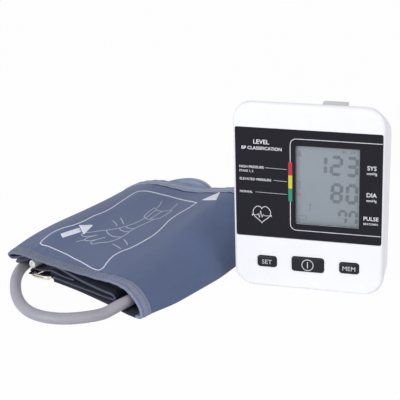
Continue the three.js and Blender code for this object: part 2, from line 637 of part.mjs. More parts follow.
// Contact plate at one end of the bay, with a spring cone under each flat cell end
function contactPlate(lower) {
  const half = bayWidth / 2 - FIT;
  const wall = lower ? BAY_BOTTOM + FIT : BAY_BOTTOM + bayLength - FIT;
  const inward = lower ? 1 : -1;
  const face = wall + inward * CONTACT_THICK;
  const plate = toSolid(onBack(block(BAY_X - half, BAY_X + half, bayFloor + FIT,
    cellN + CELL_RADIUS - CONTACT_SHORT,
    Math.min(wall, face), Math.max(wall, face))));
  const springs = [];
  for (let i = 0; i < CELLS; i += 1) {
    const up = i % 2 === 0;
    if (up !== lower) continue;
    const x = BAY_X + (i - (CELLS - 1) / 2) * (2 * CELL_RADIUS + CELL_GAP);
    for (let k = 0; k < SPRING_TURNS; k += 1) {
      const [a, b] = [k, k + 1].map((n) => face + inward * ((n * (SPRING_LENGTH - FIT)) / SPRING_TURNS));
      const radius = SPRING_RADIUS - k * SPRING_STEP;
      springs.push(toSolid(onBack(rod(radius, [x, cellN, a - inward * CONTACT_THICK / 2], [x, cellN, b], 14))));
    }
  }
  return join(plate, ...springs);
}

function screw([x, z]) {
  const head = toSolid(rod(HEAD_RADIUS, [x, SCREW_SEAT + FIT, z], [x, SCREW_SEAT + FIT + HEAD_THICK, z], 16));
  const shank = toSolid(rod(SCREW_RADIUS, [x, FACE_WALL + FIT, z], [x, SCREW_SEAT + FIT + HEAD_THICK / 2, z], 12));
  const headEnd = SCREW_SEAT + FIT + HEAD_THICK;
  const slot = toSolid(block(x - HEAD_RADIUS, x + HEAD_RADIUS, headEnd - SLOT_DEPTH, headEnd + LAP,
    z - SLOT_WIDTH / 2, z + SLOT_WIDTH / 2));
  return cut(join(head, shank), slot);
}

const foot = ([x, w]) => onBack(rod(FOOT_RADIUS, [x, -FOOT_SUNK + FIT, w], [x, FOOT_THICK - FOOT_SUNK + FIT, w]));

// The roll: where a point of its section lies, s to the right, t to the far end
const turn = (CUFF_TURN * Math.PI) / 180;
const rightWay = new THREE.Vector3(Math.cos(turn), -Math.sin(turn), 0);
const farWay = new THREE.Vector3(Math.sin(turn), Math.cos(turn), 0);
const cuffPoint = (s, t, h) => new THREE.Vector3(CUFF_X, CUFF_Y, h)
  .addScaledVector(rightWay, s)
  .addScaledVector(farWay, t);

// The cloth's middle line at the near and the far end, from the free end under the
// roll, round its right side, over the top, round the left tip and in to the ring.
// A third number is how far the near edge comes forward there
const bottomH = TAPE / 2;
const secondH = bottomH + TAPE + 0.4;
const loopS = -83;
const nearLine = [
  [loopS, bottomH], [-60, bottomH], [-22, bottomH, 3], [-3, bottomH, 5.6], [8.4, 2.2, 5.8], [7.6, 5.8, 4.8],
  [-0.2, 11, 2], [-10, 15, 0.3], [-22, 16.8, 0.3], [-36, 16.4, 1.4], [-60, 16.1, 3.2], [-80, 16, 4.6],
  [-97, 15.9, 5.3], [-112, 15.3, 4.6], [-123, 13, 3.2], [-129.2, 9.8, 2], [-128, 7.8, 1], [-121, 9],
  [-112, 11.7], [-103, 12.8], [-91, 13.1], [-78, 12.6],
  [-66, 10.9], [-55, 9.2], [-42, 8.1], [-31, 7.5], [-22.6, 6.9], [-21.2, 5], [-26, secondH], [-42, secondH],
  [-62, secondH], [loopS, secondH]];
const farLine = [
  [loopS, bottomH], [-60, bottomH], [-24, bottomH], [-9, bottomH + 0.2], [4.5, 2.5], [2.6, 14],
  [0, 27], [-9, 37.5], [-22, 41.5], [-36, 38.5], [-60, 33.6], [-80, 32.6], [-97, 31.8], [-112, 28.6],
  [-124, 24], [-133.4, 17.6], [-131.5, 14], [-123, 17.2], [-112, 22.4], [-100, 26.6], [-88, 29], [-76, 29.6],
  [-64, 28.6], [-53, 25.4], [-42, 20.4], [-32, 14.6], [-24, 9.6], [-21.2, 6.2], [-26, secondH], [-42, secondH],
  [-62, secondH], [loopS, secondH]];
const sectionCurve = (line) => new THREE.CatmullRomCurve3(
  line.map(([s, h, lead = 0]) => new THREE.Vector3(s, h, lead)), false, 'centripetal');
const nearCurve = sectionCurve(nearLine);
const farCurve = sectionCurve(farLine);
const secondTurn = [16, 27]; // knots between the left tip and the inner fold

const COVERED = CUFF_WIDTH / (CUFF_WIDTH + TELESCOPE); // share of the inner turn under the outer one
const ease = (x) => x * x * (3 - 2 * x);
const rise = (x, from, to) => ease(THREE.MathUtils.clamp((x - from) / (to - from), 0, 1));

// Middle of the cloth: u runs along the line, v from the near edge to the far edge
function clothMiddle(u, v) {
  const near = nearCurve.getPoint(u);
  const far = farCurve.getPoint(u);
  const knot = u * (nearLine.length - 1);
  const side = rise(knot, 3, 4) * rise(-knot, -7, -5);
  const sag = SIDE_SAG * side * rise(v, 0, 0.25) * rise(-v, -0.83, -0.5);
  const front = Math.min(v / 0.8, 1);
  const raised = SHOULDER * rise(knot, 11.3, 12.9) * rise(-knot, -16.2, -14.6) * 6.75 * front * (1 - front) ** 2;
  const s = near.x + (far.x - near.x) * v + sag;
  const h = near.y + (far.y - near.y) * v + raised;
  const inside = THREE.MathUtils.clamp((knot - secondTurn[0]) / (secondTurn[1] - secondTurn[0]), 0, 1);
  const swell = Math.sin(Math.PI * inside) ** 4;
  const start = -CUFF_SKEW * near.x - near.z;
  const end = CUFF_WIDTH + TELESCOPE * swell;
  const lift = TELESCOPE_LIFT * swell * ease(Math.max(0, (v - COVERED) / (1 - COVERED)));
  return new THREE.Vector3(s, start + (end - start) * v, Math.max(h, TAPE / 2) + lift);
}

// Cloth of the roll between two distances across the band, with real thickness
function clothSolid(thick, fromV, toV, acrossSteps) {
  const outerRows = [];
  const innerRows = [];
  const step = 1 / (ALONG_STEPS * 4);
  for (let j = 0; j <= acrossSteps; j += 1) {
    const v = fromV + ((toV - fromV) * j) / acrossSteps;
    for (let i = 0; i <= ALONG_STEPS; i += 1) {
      const u = i / ALONG_STEPS;
      const middle = clothMiddle(u, v);
      const before = clothMiddle(Math.max(0, u - step), v);
      const after = clothMiddle(Math.min(1, u + step), v);
      const way = after.sub(before).setY(0).normalize();
      const out = new THREE.Vector2(way.z, -way.x).multiplyScalar(thick / 2);
      outerRows.push(cuffPoint(middle.x + out.x, middle.y, middle.z + out.y));
      innerRows.push(cuffPoint(middle.x - out.x, middle.y, middle.z - out.y));
    }
  }
  return thickSheet(outerRows, innerRows, ALONG_STEPS + 1, acrossSteps + 1);
}

// A closed solid between two grids of points
function thickSheet(top, bottom, columns, rows) {
  const points = [...top, ...bottom];
  const offset = top.length;
  const faces = [];
  const quad = (a, b, c, d) => faces.push(a, b, c, a, c, d);
  for (let j = 0; j + 1 < rows; j += 1) {
    for (let i = 0; i + 1 < columns; i += 1) {
      const a = j * columns + i;
      quad(a, a + 1, a + columns + 1, a + columns);
      quad(a + offset, a + columns + offset, a + columns + 1 + offset, a + 1 + offset);
    }
  }
  for (let i = 0; i + 1 < columns; i += 1) {
    const last = (rows - 1) * columns + i;
    quad(i + 1, i, i + offset, i + 1 + offset);
    quad(last, last + 1, last + 1 + offset, last + offset);
  }
  for (let j = 0; j + 1 < rows; j += 1) {
    const [a, b] = [j * columns, j * columns + columns - 1];
    quad(a, a + columns, a + columns + offset, a + offset);
    quad(b + columns, b, b + offset, b + columns + offset);
  }
  return meshFrom(points, faces);
}

const tapeShare = TAPE_WIDTH / CUFF_WIDTH;
const gapShare = FIT / CUFF_WIDTH;
const cuffBand = () => clothSolid(CLOTH, tapeShare + gapShare, 1 - tapeShare - gapShare, ACROSS_STEPS);
const bindingNear = () => clothSolid(TAPE, 0, tapeShare, 1);
const bindingFar = () => clothSolid(TAPE, 1 - tapeShare, 1, 2);

// Ring: a flat oblong of wire whose right side lies in the sewn loop
const sleeveInner = RING_WIRE + FIT;
const sleeveOuter = sleeveInner + LOOP_CLOTH;
const pivotH = sleeveOuter + TABLE_GAP;
const pivotS = loopS - FIT - sleeveOuter;
const ringStart = -CUFF_SKEW * pivotS - RING_PROUD;
const ringSide = RING_WIDTH - 2 * RING_WIRE;
const ringTurn = Math.asin((pivotH - RING_WIRE - TABLE_GAP) / ringSide);

function ringPoint(across, along) {
  return cuffPoint(pivotS - across * Math.cos(ringTurn), ringStart + RING_WIRE + along,
    pivotH - across * Math.sin(ringTurn));
}

function dRing() {
  const long = RING_LENGTH - 2 * RING_WIRE;
  const arc = (cx, cy, from) => [0, 0.5, 1].map((k) => {
    const angle = ((from + k) * Math.PI) / 2;
    return [cx + RING_CORNER * Math.cos(angle), cy + RING_CORNER * Math.sin(angle)];
  });
  const flat = [
    ...arc(RING_CORNER, RING_CORNER, 2), ...arc(ringSide - RING_CORNER, RING_CORNER, 3),
    ...arc(ringSide - RING_CORNER, long - RING_CORNER, 0), ...arc(RING_CORNER, long - RING_CORNER, 1)];
  const sides = 8;
  const normal = new THREE.Vector3().copy(ringPoint(1, 0)).sub(ringPoint(0, 0)).cross(farWay).normalize();
  const points = flat.map(([across, along]) => ringPoint(across, along));
  const rings = points.map((p, i) => {
    const before = points[(i + points.length - 1) % points.length];
    const after = points[(i + 1) % points.length];
    const way = after.clone().sub(before).normalize();
    const out = new THREE.Vector3().crossVectors(way, normal);
    return Array.from({ length: sides }, (_, k) => {
      const angle = ((k + 0.5) * 2 * Math.PI) / sides;
      return p.clone().addScaledVector(out, RING_WIRE * Math.cos(angle))
        .addScaledVector(normal, RING_WIRE * Math.sin(angle));
    });
  });
  const faces = [];
  rings.forEach((_, k) => {
    const next = ((k + 1) % rings.length) * sides;
    for (let i = 0; i < sides; i += 1) {
      const [a, b] = [k * sides + i, k * sides + ((i + 1) % sides)];
      const [c, d] = [next + ((i + 1) % sides), next + i];
      faces.push(a, b, c, a, c, d);
    }
  });
  return meshFrom(rings.flat(), faces);
}

// Sewn loop: the cloth's inner end wrapped round the ring's right side
function ringLoop() {
  const from = -CUFF_SKEW * pivotS + TAPE_WIDTH;
  const to = CUFF_WIDTH - TAPE_WIDTH;
  const way = (radius, a, b) => toSolid(rod(radius, cuffPoint(pivotS, a, pivotH).toArray(),
    cuffPoint(pivotS, b, pivotH).toArray(), 16));
  return cut(way(sleeveOuter, from, to), way(sleeveInner, from - LAP, to + LAP));
}

// Port inside the roll, on the cloth that lies on the table
const portS = -13;
const portFrom = 46;
const portBase = bottomH + CLOTH / 2 + FIT;
const hoseH = portBase + PORT_FLANGE + HOSE_RADIUS + PORT_RISE;

function cuffBlock(s0, s1, t0, t1, h0, h1) {
  const geometry = block(s0, s1, t0, t1, h0, h1);
  return geometry.rotateZ(-turn).translate(CUFF_X, CUFF_Y, 0);
}

function hosePort() {
  const half = PORT_WIDTH / 2;
  const flange = toSolid(cuffBlock(portS - half, portS + half, portFrom, portFrom + PORT_LENGTH,
    portBase, portBase + PORT_FLANGE));
  const neck = toSolid(rod(HOSE_RADIUS, cuffPoint(portS, portFrom, hoseH).toArray(),
    cuffPoint(portS, portFrom + PORT_NECK, hoseH).toArray(), 16));
  const web = toSolid(cuffBlock(portS - PORT_WEB / 2, portS + PORT_WEB / 2, portFrom, portFrom + PORT_NECK,
    portBase + PORT_FLANGE / 2, hoseH));
  return join(flange, web, neck);
}

// Hose: from the port out of the right of the near end, round in front of the roll,
// in at the left tip, round inside the roll and back to the plug, as s, t and height
const hoseLow = HOSE_RADIUS + TABLE_GAP;
const plugS = -105;
const plugStart = 5.4;
const plugH = 8.2;
const plugEnd = plugStart + PLUG_LENGTH;
const hoseRoute = [
  [portS, portFrom - FIT, hoseH], [portS + 0.1, portFrom - 10, hoseH], [-11.6, 28, hoseH], [-9.2, 14, 7.6],
  [-8, 3, 7.3], [-9.4, -7, 6.6], [-13, -18.5, hoseLow], [-19.2, -30, hoseLow], [-28.4, -39.4, hoseLow],
  [-40, -45.2, hoseLow], [-52.5, -46.2, hoseLow], [-65, -42.6, hoseLow], [-78.5, -34.8, hoseLow],
  [-91.5, -24.2, hoseLow], [-104.5, -10.5, hoseLow], [-113.2, 3, hoseLow],
  [-117.6, 17, hoseLow], [-118.6, 34, hoseLow], [-118.6, 56, 5.4], [-118.4, 78, 8.4],
  [-118, 100, 10.6], [-113.6, 116.5, 11], [-101.5, 128.6, 11], [-85, 133, 10.8], [-68.5, 128.6, 10.2],
  [-56.4, 116.5, 9.8], [-52, 100, 9.8], [-56.4, 83.5, 10.2], [-66, 72.8, 10.6], [-80.5, 66.6, 10.8],
  [-92.8, 60.4, 10.6], [-101.6, 49.8, 9.6], [plugS, 36, plugH], [plugS, plugEnd + FIT, plugH]];

function airHose() {
  return tube(HOSE_RADIUS, hoseRoute.map(([s, t, h]) => cuffPoint(s, t, h).toArray()), HOSE_STEPS, 10);
}

function airPlug() {
  const at = (t) => cuffPoint(plugS, t, plugH).toArray();
  const collar = toSolid(rod(PLUG_RADIUS, at(plugStart), at(plugEnd), 20));
  const bore = toSolid(rod(PLUG_BORE, at(plugStart - LAP), at(plugEnd - 2 * LAP), 12));
  return cut(collar, bore);
}

// The model
const model = new THREE.Group();
model.name = 'blood_pressure_monitor';
const monitor = new THREE.Group();
monitor.position.y = -BASE_DEPTH / 2;
const cuff = new THREE.Group();
model.add(monitor, cuff);

function place(group, name, shape, material) {
  const geometry = shape.getMesh ? toGeometry(shape) : shape;
  const mesh = new THREE.Mesh(geometry, material);
  mesh.name = name;
  group.add(mesh);
}

place(monitor, 'front_casing', frontCasing(), white);
place(monitor, 'rear_casing', rearCasing(), white);
place(monitor, 'display_panel', displayPanel(), black);
place(monitor, 'display_window', displayWindow(), clear);
place(monitor, 'lcd_holder', lcdHolder(), inner);
const glassHalf = holderHalf.map((half) => half - FIT);
place(monitor, 'lcd_glass', block(WINDOW_X - glassHalf[0], WINDOW_X + glassHalf[0], glassFront, glassBack,
  windowZ - glassHalf[1], windowZ + glassHalf[1]), screen);
place(monitor, 'lcd_contact_strip', block(WINDOW_X - WINDOW_WIDTH / 2, WINDOW_X + WINDOW_WIDTH / 2,
  glassBack + FIT, BOARD_Y - FIT, stripZ - STRIP_THICK / 2, stripZ + STRIP_THICK / 2), silicone);
place(monitor, 'main_board', mainBoard(), board);
place(monitor, 'controller_chip', block(CHIP_X - CHIP_SIDE / 2, CHIP_X + CHIP_SIDE / 2, boardBack + FIT,
  boardBack + FIT + CHIP_THICK, teeZ - CHIP_SIDE, teeZ), dark);
place(monitor, 'buzzer', rod(BUZZER_RADIUS, [BUZZER_X, boardBack + FIT, BUZZER_Z],
  [BUZZER_X, boardBack + FIT + BUZZER_THICK, BUZZER_Z]), dark);
place(monitor, 'pressure_sensor', pressureSensor(), inner);
place(monitor, 'pump_motor', pumpMotor(), steel);
place(monitor, 'pump_head', pumpHead(), inner);
place(monitor, 'release_valve', releaseValve(), dark);
place(monitor, 'air_socket', airSocket(), inner);
place(monitor, 'air_tee', airTee(), inner);
place(monitor, 'pump_tube', pumpTube(), silicone);
place(monitor, 'socket_tube', socketTube(), silicone);
place(monitor, 'valve_tube', valveTube(), silicone);
place(monitor, 'sensor_tube', sensorTube(), silicone);
for (const button of buttons) {
  place(monitor, button.name, pushButton(button), buttonBlack);
  place(monitor, button.name.replace('button', 'switch'), buttonSwitch(button), dark);
}
for (let i = 0; i < CELLS; i += 1) place(monitor, `battery_${i + 1}`, cell(i), cellSkin);
place(monitor, 'contact_plate_low', contactPlate(true), steel);
place(monitor, 'contact_plate_high', contactPlate(false), steel);
place(monitor, 'battery_cover', batteryCover(), white);
place(monitor, 'cover_latch', coverLatch(), greyTab);
SCREW_PLACES.forEach((spot, i) => place(monitor, `casing_screw_${i + 1}`, screw(spot), steel));
footPlaces().forEach((spot, i) => place(monitor, `rubber_foot_${i + 1}`, foot(spot), rubber));

place(cuff, 'cuff_band', cuffBand(), clothBlue);
place(cuff, 'binding_near', bindingNear(), tapeGrey);
place(cuff, 'binding_far', bindingFar(), tapeGrey);
place(cuff, 'ring_loop', ringLoop(), clothBlue);
place(cuff, 'd_ring', dRing(), steel);
place(cuff, 'hose_port', hosePort(), silicone);
place(cuff, 'air_hose', airHose(), hoseGrey);
place(cuff, 'air_plug', airPlug(), plugWhite);

export default model;
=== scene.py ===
"""Blood pressure monitor with its rolled arm cuff: the looks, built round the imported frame."""

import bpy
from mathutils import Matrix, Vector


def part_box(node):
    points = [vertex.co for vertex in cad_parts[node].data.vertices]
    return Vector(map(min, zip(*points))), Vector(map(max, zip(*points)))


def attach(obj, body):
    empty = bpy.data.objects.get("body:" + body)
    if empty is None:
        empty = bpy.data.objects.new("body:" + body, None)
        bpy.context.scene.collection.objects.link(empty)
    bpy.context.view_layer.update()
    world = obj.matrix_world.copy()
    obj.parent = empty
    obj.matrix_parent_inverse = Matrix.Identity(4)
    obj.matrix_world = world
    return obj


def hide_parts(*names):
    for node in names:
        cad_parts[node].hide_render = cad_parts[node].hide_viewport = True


bl_info = {
    "name": "Blood pressure monitor",
    "version": (1, 0, 0),
    "blender": (4, 5, 0),
    "location": "3D View > Sidebar > Monitor",
    "description": "Builds the dressed monitor, its arm cuff, its hose and the studio round them",
    "category": "Object",
}

import math

import bpy
import numpy as np
from bpy.props import FloatProperty, FloatVectorProperty, IntProperty, PointerProperty
from mathutils import Matrix

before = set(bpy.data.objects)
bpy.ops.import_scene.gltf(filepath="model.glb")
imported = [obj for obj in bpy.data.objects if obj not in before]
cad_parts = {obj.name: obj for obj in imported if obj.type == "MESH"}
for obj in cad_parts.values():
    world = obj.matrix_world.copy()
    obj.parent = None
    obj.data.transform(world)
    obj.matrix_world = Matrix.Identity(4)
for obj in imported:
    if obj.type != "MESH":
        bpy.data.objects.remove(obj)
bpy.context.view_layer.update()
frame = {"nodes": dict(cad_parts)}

MM = 0.001
DEPTH_SHIFT = -15.0  # the face's place on Y, in mm
PANEL_LOW, PANEL_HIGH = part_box("display_panel")
GLASS_LOW, GLASS_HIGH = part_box("lcd_glass")
WINDOW_LOW, WINDOW_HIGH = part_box("display_window")
BACK_SLANT = math.atan(16 / 134)  # how far the back leans from upright
SMOOTH_BELOW, BEVEL_ABOVE = 0.56, 0.6  # edges below the first look smooth, those above the second are rounded
ROUND_NODES = ("battery", "contact", "pump_tube", "socket_tube", "valve", "sensor")  # these take no rounding
WAVE_PITCH = 0.314  # pitch of a wave texture's bands at a scale of one

# The roll on the table, in mm: s runs along its near edge to the right, t to its far end, and h is the
# height. The two lines are its sections at either end; a third number is how far the near edge comes forward
CUFF_X, CUFF_Y = -104.0, -77.5
CUFF_TURN = math.radians(22.83)
CUFF_SKEW = 0.058
CUFF_WIDTH = 145.0
LOOP_S = -83.0
CLOTH_EDGE = 0.45 * 9.0 / CUFF_WIDTH  # the cloth's edges lie under the tape, by that share of the width
NEAR_LINE = (
    (LOOP_S, 1.1), (-60, 1.1), (-22, 1.1, 3), (-3, 1.1, 5.6), (8.4, 2.2, 5.8), (7.6, 5.8, 4.8), (-0.2, 11, 2),
    (-10, 15, 0.3), (-22, 16.8, 0.3), (-36, 16.4, 1.4), (-60, 16.1, 3.2), (-80, 16, 4.6),
    (-97, 15.9, 5.3), (-112, 15.3, 4.6), (-123, 13, 3.2), (-129.2, 9.8, 2), (-128, 7.8, 1),
    (-121, 9), (-112, 11.7), (-103, 12.8), (-91, 13.1), (-78, 12.6),
    (-66, 10.9), (-55, 9.2), (-42, 8.1), (-31, 7.5), (-22.6, 6.9), (-21.2, 5), (-26, 3.7),
    (-42, 3.7), (-62, 3.7), (LOOP_S, 3.7),
)
FAR_LINE = (
    (LOOP_S, 1.1), (-60, 1.1), (-24, 1.1), (-9, 1.3), (4.5, 2.5), (2.6, 14), (0, 27), (-9, 37.5),
    (-22, 41.5), (-36, 38.5), (-60, 33.6), (-80, 32.6), (-97, 31.8), (-112, 28.6), (-124, 24),
    (-133.4, 17.6), (-131.5, 14), (-123, 17.2), (-112, 22.4), (-100, 26.6), (-88, 29), (-76, 29.6),
    (-64, 28.6), (-53, 25.4), (-42, 20.4), (-32, 14.6), (-24, 9.6), (-21.2, 6.2), (-26, 3.7),
    (-42, 3.7), (-62, 3.7), (LOOP_S, 3.7),
)
NEAR_POINTS = [(*place, 0.0)[:3] for place in NEAR_LINE]
SPANS = len(NEAR_LINE) - 1
KNOT_LENGTH = 14.0  # the way from one knot to the next, in mm, as the waves count it
TOP_KNOTS = (7.5, 14.0)  # the part of the section that is the roll's top

# How the cloth departs from the two lines, in mm, and the knots or shares of the width between which it does
SIDE_SAG, SIDE_KNOTS, SIDE_SHARES = 4.6, (3, 4, 5, 7), (0, 0.25, 0.5, 0.83)
SHOULDER, SHOULDER_KNOTS = 3.4, (11.3, 12.9, 14.6, 16.2)
TELESCOPE, TELESCOPE_LIFT, INNER_KNOTS = 12.0, 5.0, (16, 27)
COVERED = CUFF_WIDTH / (CUFF_WIDTH + TELESCOPE)
LOWEST = 1.1  # height of the cloth's middle where it lies on the table
WAVE_KNOTS = (5, 7.5, 13.2, 15.2)

# The hose's route, as s, t and height on the roll, in mm
PORT_S, PORT_FROM, HOSE_H = -13.0, 46.0, 8.1
PLUG_S, PLUG_FROM, PLUG_TO, PLUG_H = -105.0, 5.4, 27.4, 8.2
HOSE_LOW = 4.1
HOSE_ROUTE = (
    (PORT_S, PORT_FROM - 0.3, HOSE_H), (PORT_S + 0.1, PORT_FROM - 10, HOSE_H), (-11.6, 28, HOSE_H),
    (-9.2, 14, 7.6), (-8, 3, 7.3), (-9.4, -7, 6.6), (-13, -18.5, HOSE_LOW), (-19.2, -30, HOSE_LOW),
    (-28.4, -39.4, HOSE_LOW), (-40, -45.2, HOSE_LOW), (-52.5, -46.2, HOSE_LOW), (-65, -42.6, HOSE_LOW),
    (-78.5, -34.8, HOSE_LOW), (-91.5, -24.2, HOSE_LOW), (-104.5, -10.5, HOSE_LOW),
    (-113.2, 3, HOSE_LOW), (-117.6, 17, HOSE_LOW), (-118.6, 34, HOSE_LOW), (-118.6, 56, 5.4),
    (-118.4, 78, 8.4), (-118, 100, 10.6), (-113.6, 116.5, 11), (-101.5, 128.6, 11), (-85, 133, 10.8),
    (-68.5, 128.6, 10.2), (-56.4, 116.5, 9.8), (-52, 100, 9.8), (-56.4, 83.5, 10.2), (-66, 72.8, 10.6),
    (-80.5, 66.6, 10.8), (-92.8, 60.4, 10.6), (-101.6, 49.8, 9.6), (PLUG_S, 36, PLUG_H),
    (PLUG_S, PLUG_TO + 0.3, PLUG_H),
)
HOSE_STEPS, HOSE_ROWS, HOSE_SIDES = 900, 460, 28
HOSE_END = 0.93  # radius of the hose's cut ends, as a share of its own

# The plug's outline: the distance along it and the radius, in mm
PLUG_PROFILE = (
    (2.0, 0.9), (2.0, 1.3), (0.5, 1.35), (0.12, 1.55), (0.0, 1.9), (0.05, 2.5), (0.35, 2.85), (0.9, 3.0),
    (5.0, 3.0), (5.15, 2.72), (5.7, 2.72), (5.85, 3.0), (13.0, 3.05), (13.3, 3.1), (16.2, 3.1), (16.5, 2.8),
    (17.1, 2.8), (17.4, 3.1), (21.2, 3.1), (21.8, 2.8), (22.0, 2.2),
)

# Ring and its sewn sleeve, in mm
RING_WIRE = 1.6
RING_PIVOT = (-86.28, 3.08)
RING_SIDE = 16.8
RING_LONG = 148.8
RING_START = -CUFF_SKEW * RING_PIVOT[0] - 4.0 + RING_WIRE
RING_TURN = math.asin((RING_PIVOT[1] - RING_WIRE - 0.1) / RING_SIDE)
RING_CORNER = 4.5
SLEEVE_RADIUS, SLEEVE_HALF = 2.44, 0.5
SLEEVE_FOOT, SLEEVE_HEAD = (-82.6, 1.35), (-82.6, 4.3)
SLEEVE_TURN = np.linspace(1.72 * np.pi, 0.28 * np.pi, 25)
SLEEVE_FROM, SLEEVE_TO = RING_START + 5.4, CUFF_WIDTH - 10.6

# The bindings, in mm: the rows of stitches from the band's edge, the depth and width of their grooves, the
# swell between them and the step down to the cloth
STITCH_ROWS = (2.4, 7.2)
STITCH_REACH = np.array([-1.0, -0.8, 0.0, 0.8, 1.0])[:, None, None]  # way from a stitch's middle, as a share
STITCH_THICK = np.array([0.25, 0.8, 1.0, 0.8, 0.25])[:, None, None]  # its radius there, as a share
STITCH_SIDES, STITCH_FLAT = 6, 0.8
GROOVE, GROOVE_WIDE, TAPE_SWELL, TAPE_STEP = 0.2, 0.4, 0.12, 0.35
# painted light: the far binding is the same tape as the near one, drawn paler by this share
FAR_LIT_PALE = 1.9  # how much paler the far binding is

# Knots between which the near binding is sewn; has its outer colour, outside which it takes darker copies of
# the same tape as painted shade inside and under the roll; fades from a paler painted light on the roll's
# side; and narrows
SEWN_KNOTS = (3.7, 15.0)
OUTER_KNOTS = (3.5, 15.1)
LIT_KNOTS, LIT_PALE = (6.2, 9.5), 1.5
NARROW_KNOTS, NARROW = (6.5, 8.8), 0.27

# The corner of the inner turn before the hose: its near line as s, t and height, and the heights of its back
CORNER_NEAR = (
    (-119.6, 5.5, 8.0), (-118.2, 3.4, 8.4), (-115.5, 2.0, 9.1), (-112.6, 3.1, 9.9), (-110, 5.4, 10.8),
    (-108.2, 7.2, 11.4),
)
CORNER_BACK = ((-119.6, 9.3), (-115.5, 10.9), (-112.6, 11.6), (-108.2, 12.2))
CORNER_DEPTH, CORNER_TAPE, CORNER_CLOTH = 13.0, 1.05, 0.8

# The band's free end: its line as s and height, the two strips where it turns under, its width and its lean
FREE_LINE = (
    (-64, 6.1), (-71, 6.05), (-78, 6.4), (-83, 7.1), (-87.4, 7.15), (-92, 6.1), (-97, 4.9), (-101.2, 4.38),
    (-104.2, 4.3), (-106.6, 3.75), (-108.4, 2.4), (-109.1, 0.9),
)
FREE_TURNS = (
    ((-88.6, 0.75), (-91, 0.62), (-96, 0.6), (-99.6, 0.62), (-100.6, 0.75)),
    ((-105.1, 1.1), (-106, 0.75), (-107.3, 0.65), (-108.2, 0.65)),
)
FREE_FROM, FREE_TO, FREE_HALF, FREE_LEAN = 6.0, 44.0, 0.5, 0.035
FREE_WAVE, FREE_EDGE = 0.07, 0.62
FREE_STRIP = ((4.7, 0.0), (5.0, 0.5), (FREE_TO, 0.5), (FREE_TO, -0.5), (5.0, -0.5))  # a strip's section

# Print on the cuff, as places in s and t, in mm: the frame in two halves, the arrow and the index mark as
# patches, a painted shadow line under the far binding's edge, and the arm's lines, each after its number of
# steps
PRINT_LIFT, PRINT_ROOT = 0.10, -0.25
FRAME_STEPS, SHADOW_STEPS = 240, 120
SHADOW_WIDTH, SHADOW_LIFT = 1.1, 0.06
ARM_LINE = 0.68  # width of the arm's lines, as a share of the frame's
FRAME_START = (
    (-99.5, 17), (-103.5, 16.4), (-107.2, 17.4), (-108.6, 20.2), (-109.6, 24), (-110.4, 33), (-108.4, 41),
    (-104.4, 50), (-103, 60), (-103.2, 71), (-101.8, 80), (-101.6, 88), (-102.8, 100), (-103.5, 113),
    (-103.2, 118.6), (-101, 120.8), (-96, 121.9), (-78, 123.2), (-68, 123), (-54.5, 120.8), (-41.6, 117.4),
)
FRAME_BACK = (
    (-42.5, 108), (-44, 98), (-43.4, 87), (-40.4, 76), (-38.7, 65), (-39.8, 54), (-42, 43), (-45, 35),
    (-45.6, 27.5), (-43.2, 18.5), (-41.2, 12.4), (-42.1, 9), (-46.2, 8.5), (-56, 10.9), (-71, 13.8),
    (-86, 16.3),
)
PATCHES = (
    ((-103.4, 34.5), (-98.6, 31.6), (-93.8, 46.5), (-98.8, 49.6)),
    ((-101.6, 52), (-89.8, 44.8), (-93.4, 58.4), (-94.4, 59)),
    ((-40.6, 121.6), (-34.8, 135.8), (-33.8, 135.8), (-26.3, 121.6)),
)
# painted shadow: a dark line on the cloth under the far binding's edge, as places in s and t
FAR_TAPE_SHADOW = ((-101, 134.6), (-86, 135), (-70, 134.5), (-54, 135.2), (-40, 134.6), (-30, 135.1), (-20, 134.7))
ARM_LINES = (
    (60, (-90, 48), (-84, 54), (-77, 59), (-72, 64), (-68, 71), (-66, 79), (-65.8, 86)),
    (60, (-70, 40), (-64, 44), (-60.4, 51), (-60, 59), (-60.6, 67), (-59, 76), (-57.2, 86.6)),
    (24, (-90, 48), (-91.6, 44.4), (-88.6, 42.6), (-84, 45), (-80, 48.4)),
    (30, (-80, 48.4), (-84, 42.6), (-83.4, 39), (-80.4, 38.8), (-75, 43.4), (-71.6, 48.6)),
    (20, (-75.4, 43), (-76.6, 38.4), (-73.6, 36.2), (-70, 40)),
    (24, (-68.6, 87.6), (-62, 84.8), (-54.4, 88.4)), (24, (-71.4, 103), (-64, 100), (-54.4, 104)),
    (20, (-68.6, 87.6), (-70.4, 95), (-71.4, 103)), (20, (-54.4, 88.4), (-53.9, 96), (-54.4, 104)),
    (16, (-65.2, 87), (-66.8, 94), (-67.4, 100.2)), (16, (-60.8, 86), (-61.4, 93), (-61.6, 100.8)),
    (12, (-69.4, 104), (-70.8, 108.6), (-73, 113.2)), (12, (-57, 105), (-57.4, 110), (-58.6, 115)),
    (20, (-72, 64), (-68, 61.6), (-63.6, 61), (-60.2, 62.4)),
    (20, (-69.4, 68), (-66, 66.6), (-63, 66.6), (-60.6, 67.4)),
    (20, (-79, 57.4), (-73.4, 53.6), (-66.8, 51.6), (-60.6, 53)),
    (10, (-86, 72), (-81, 69.6), (-76, 66)), (10, (-83.6, 78), (-79, 75), (-73.6, 70.4)),
    (10, (-58.4, 42), (-53, 40.6), (-48, 38.8)), (10, (-55.8, 50.8), (-51.4, 48.4), (-47.2, 45.2)),
    (8, (-87, 33.6), (-85.2, 36.4), (-83, 39.4)),
)

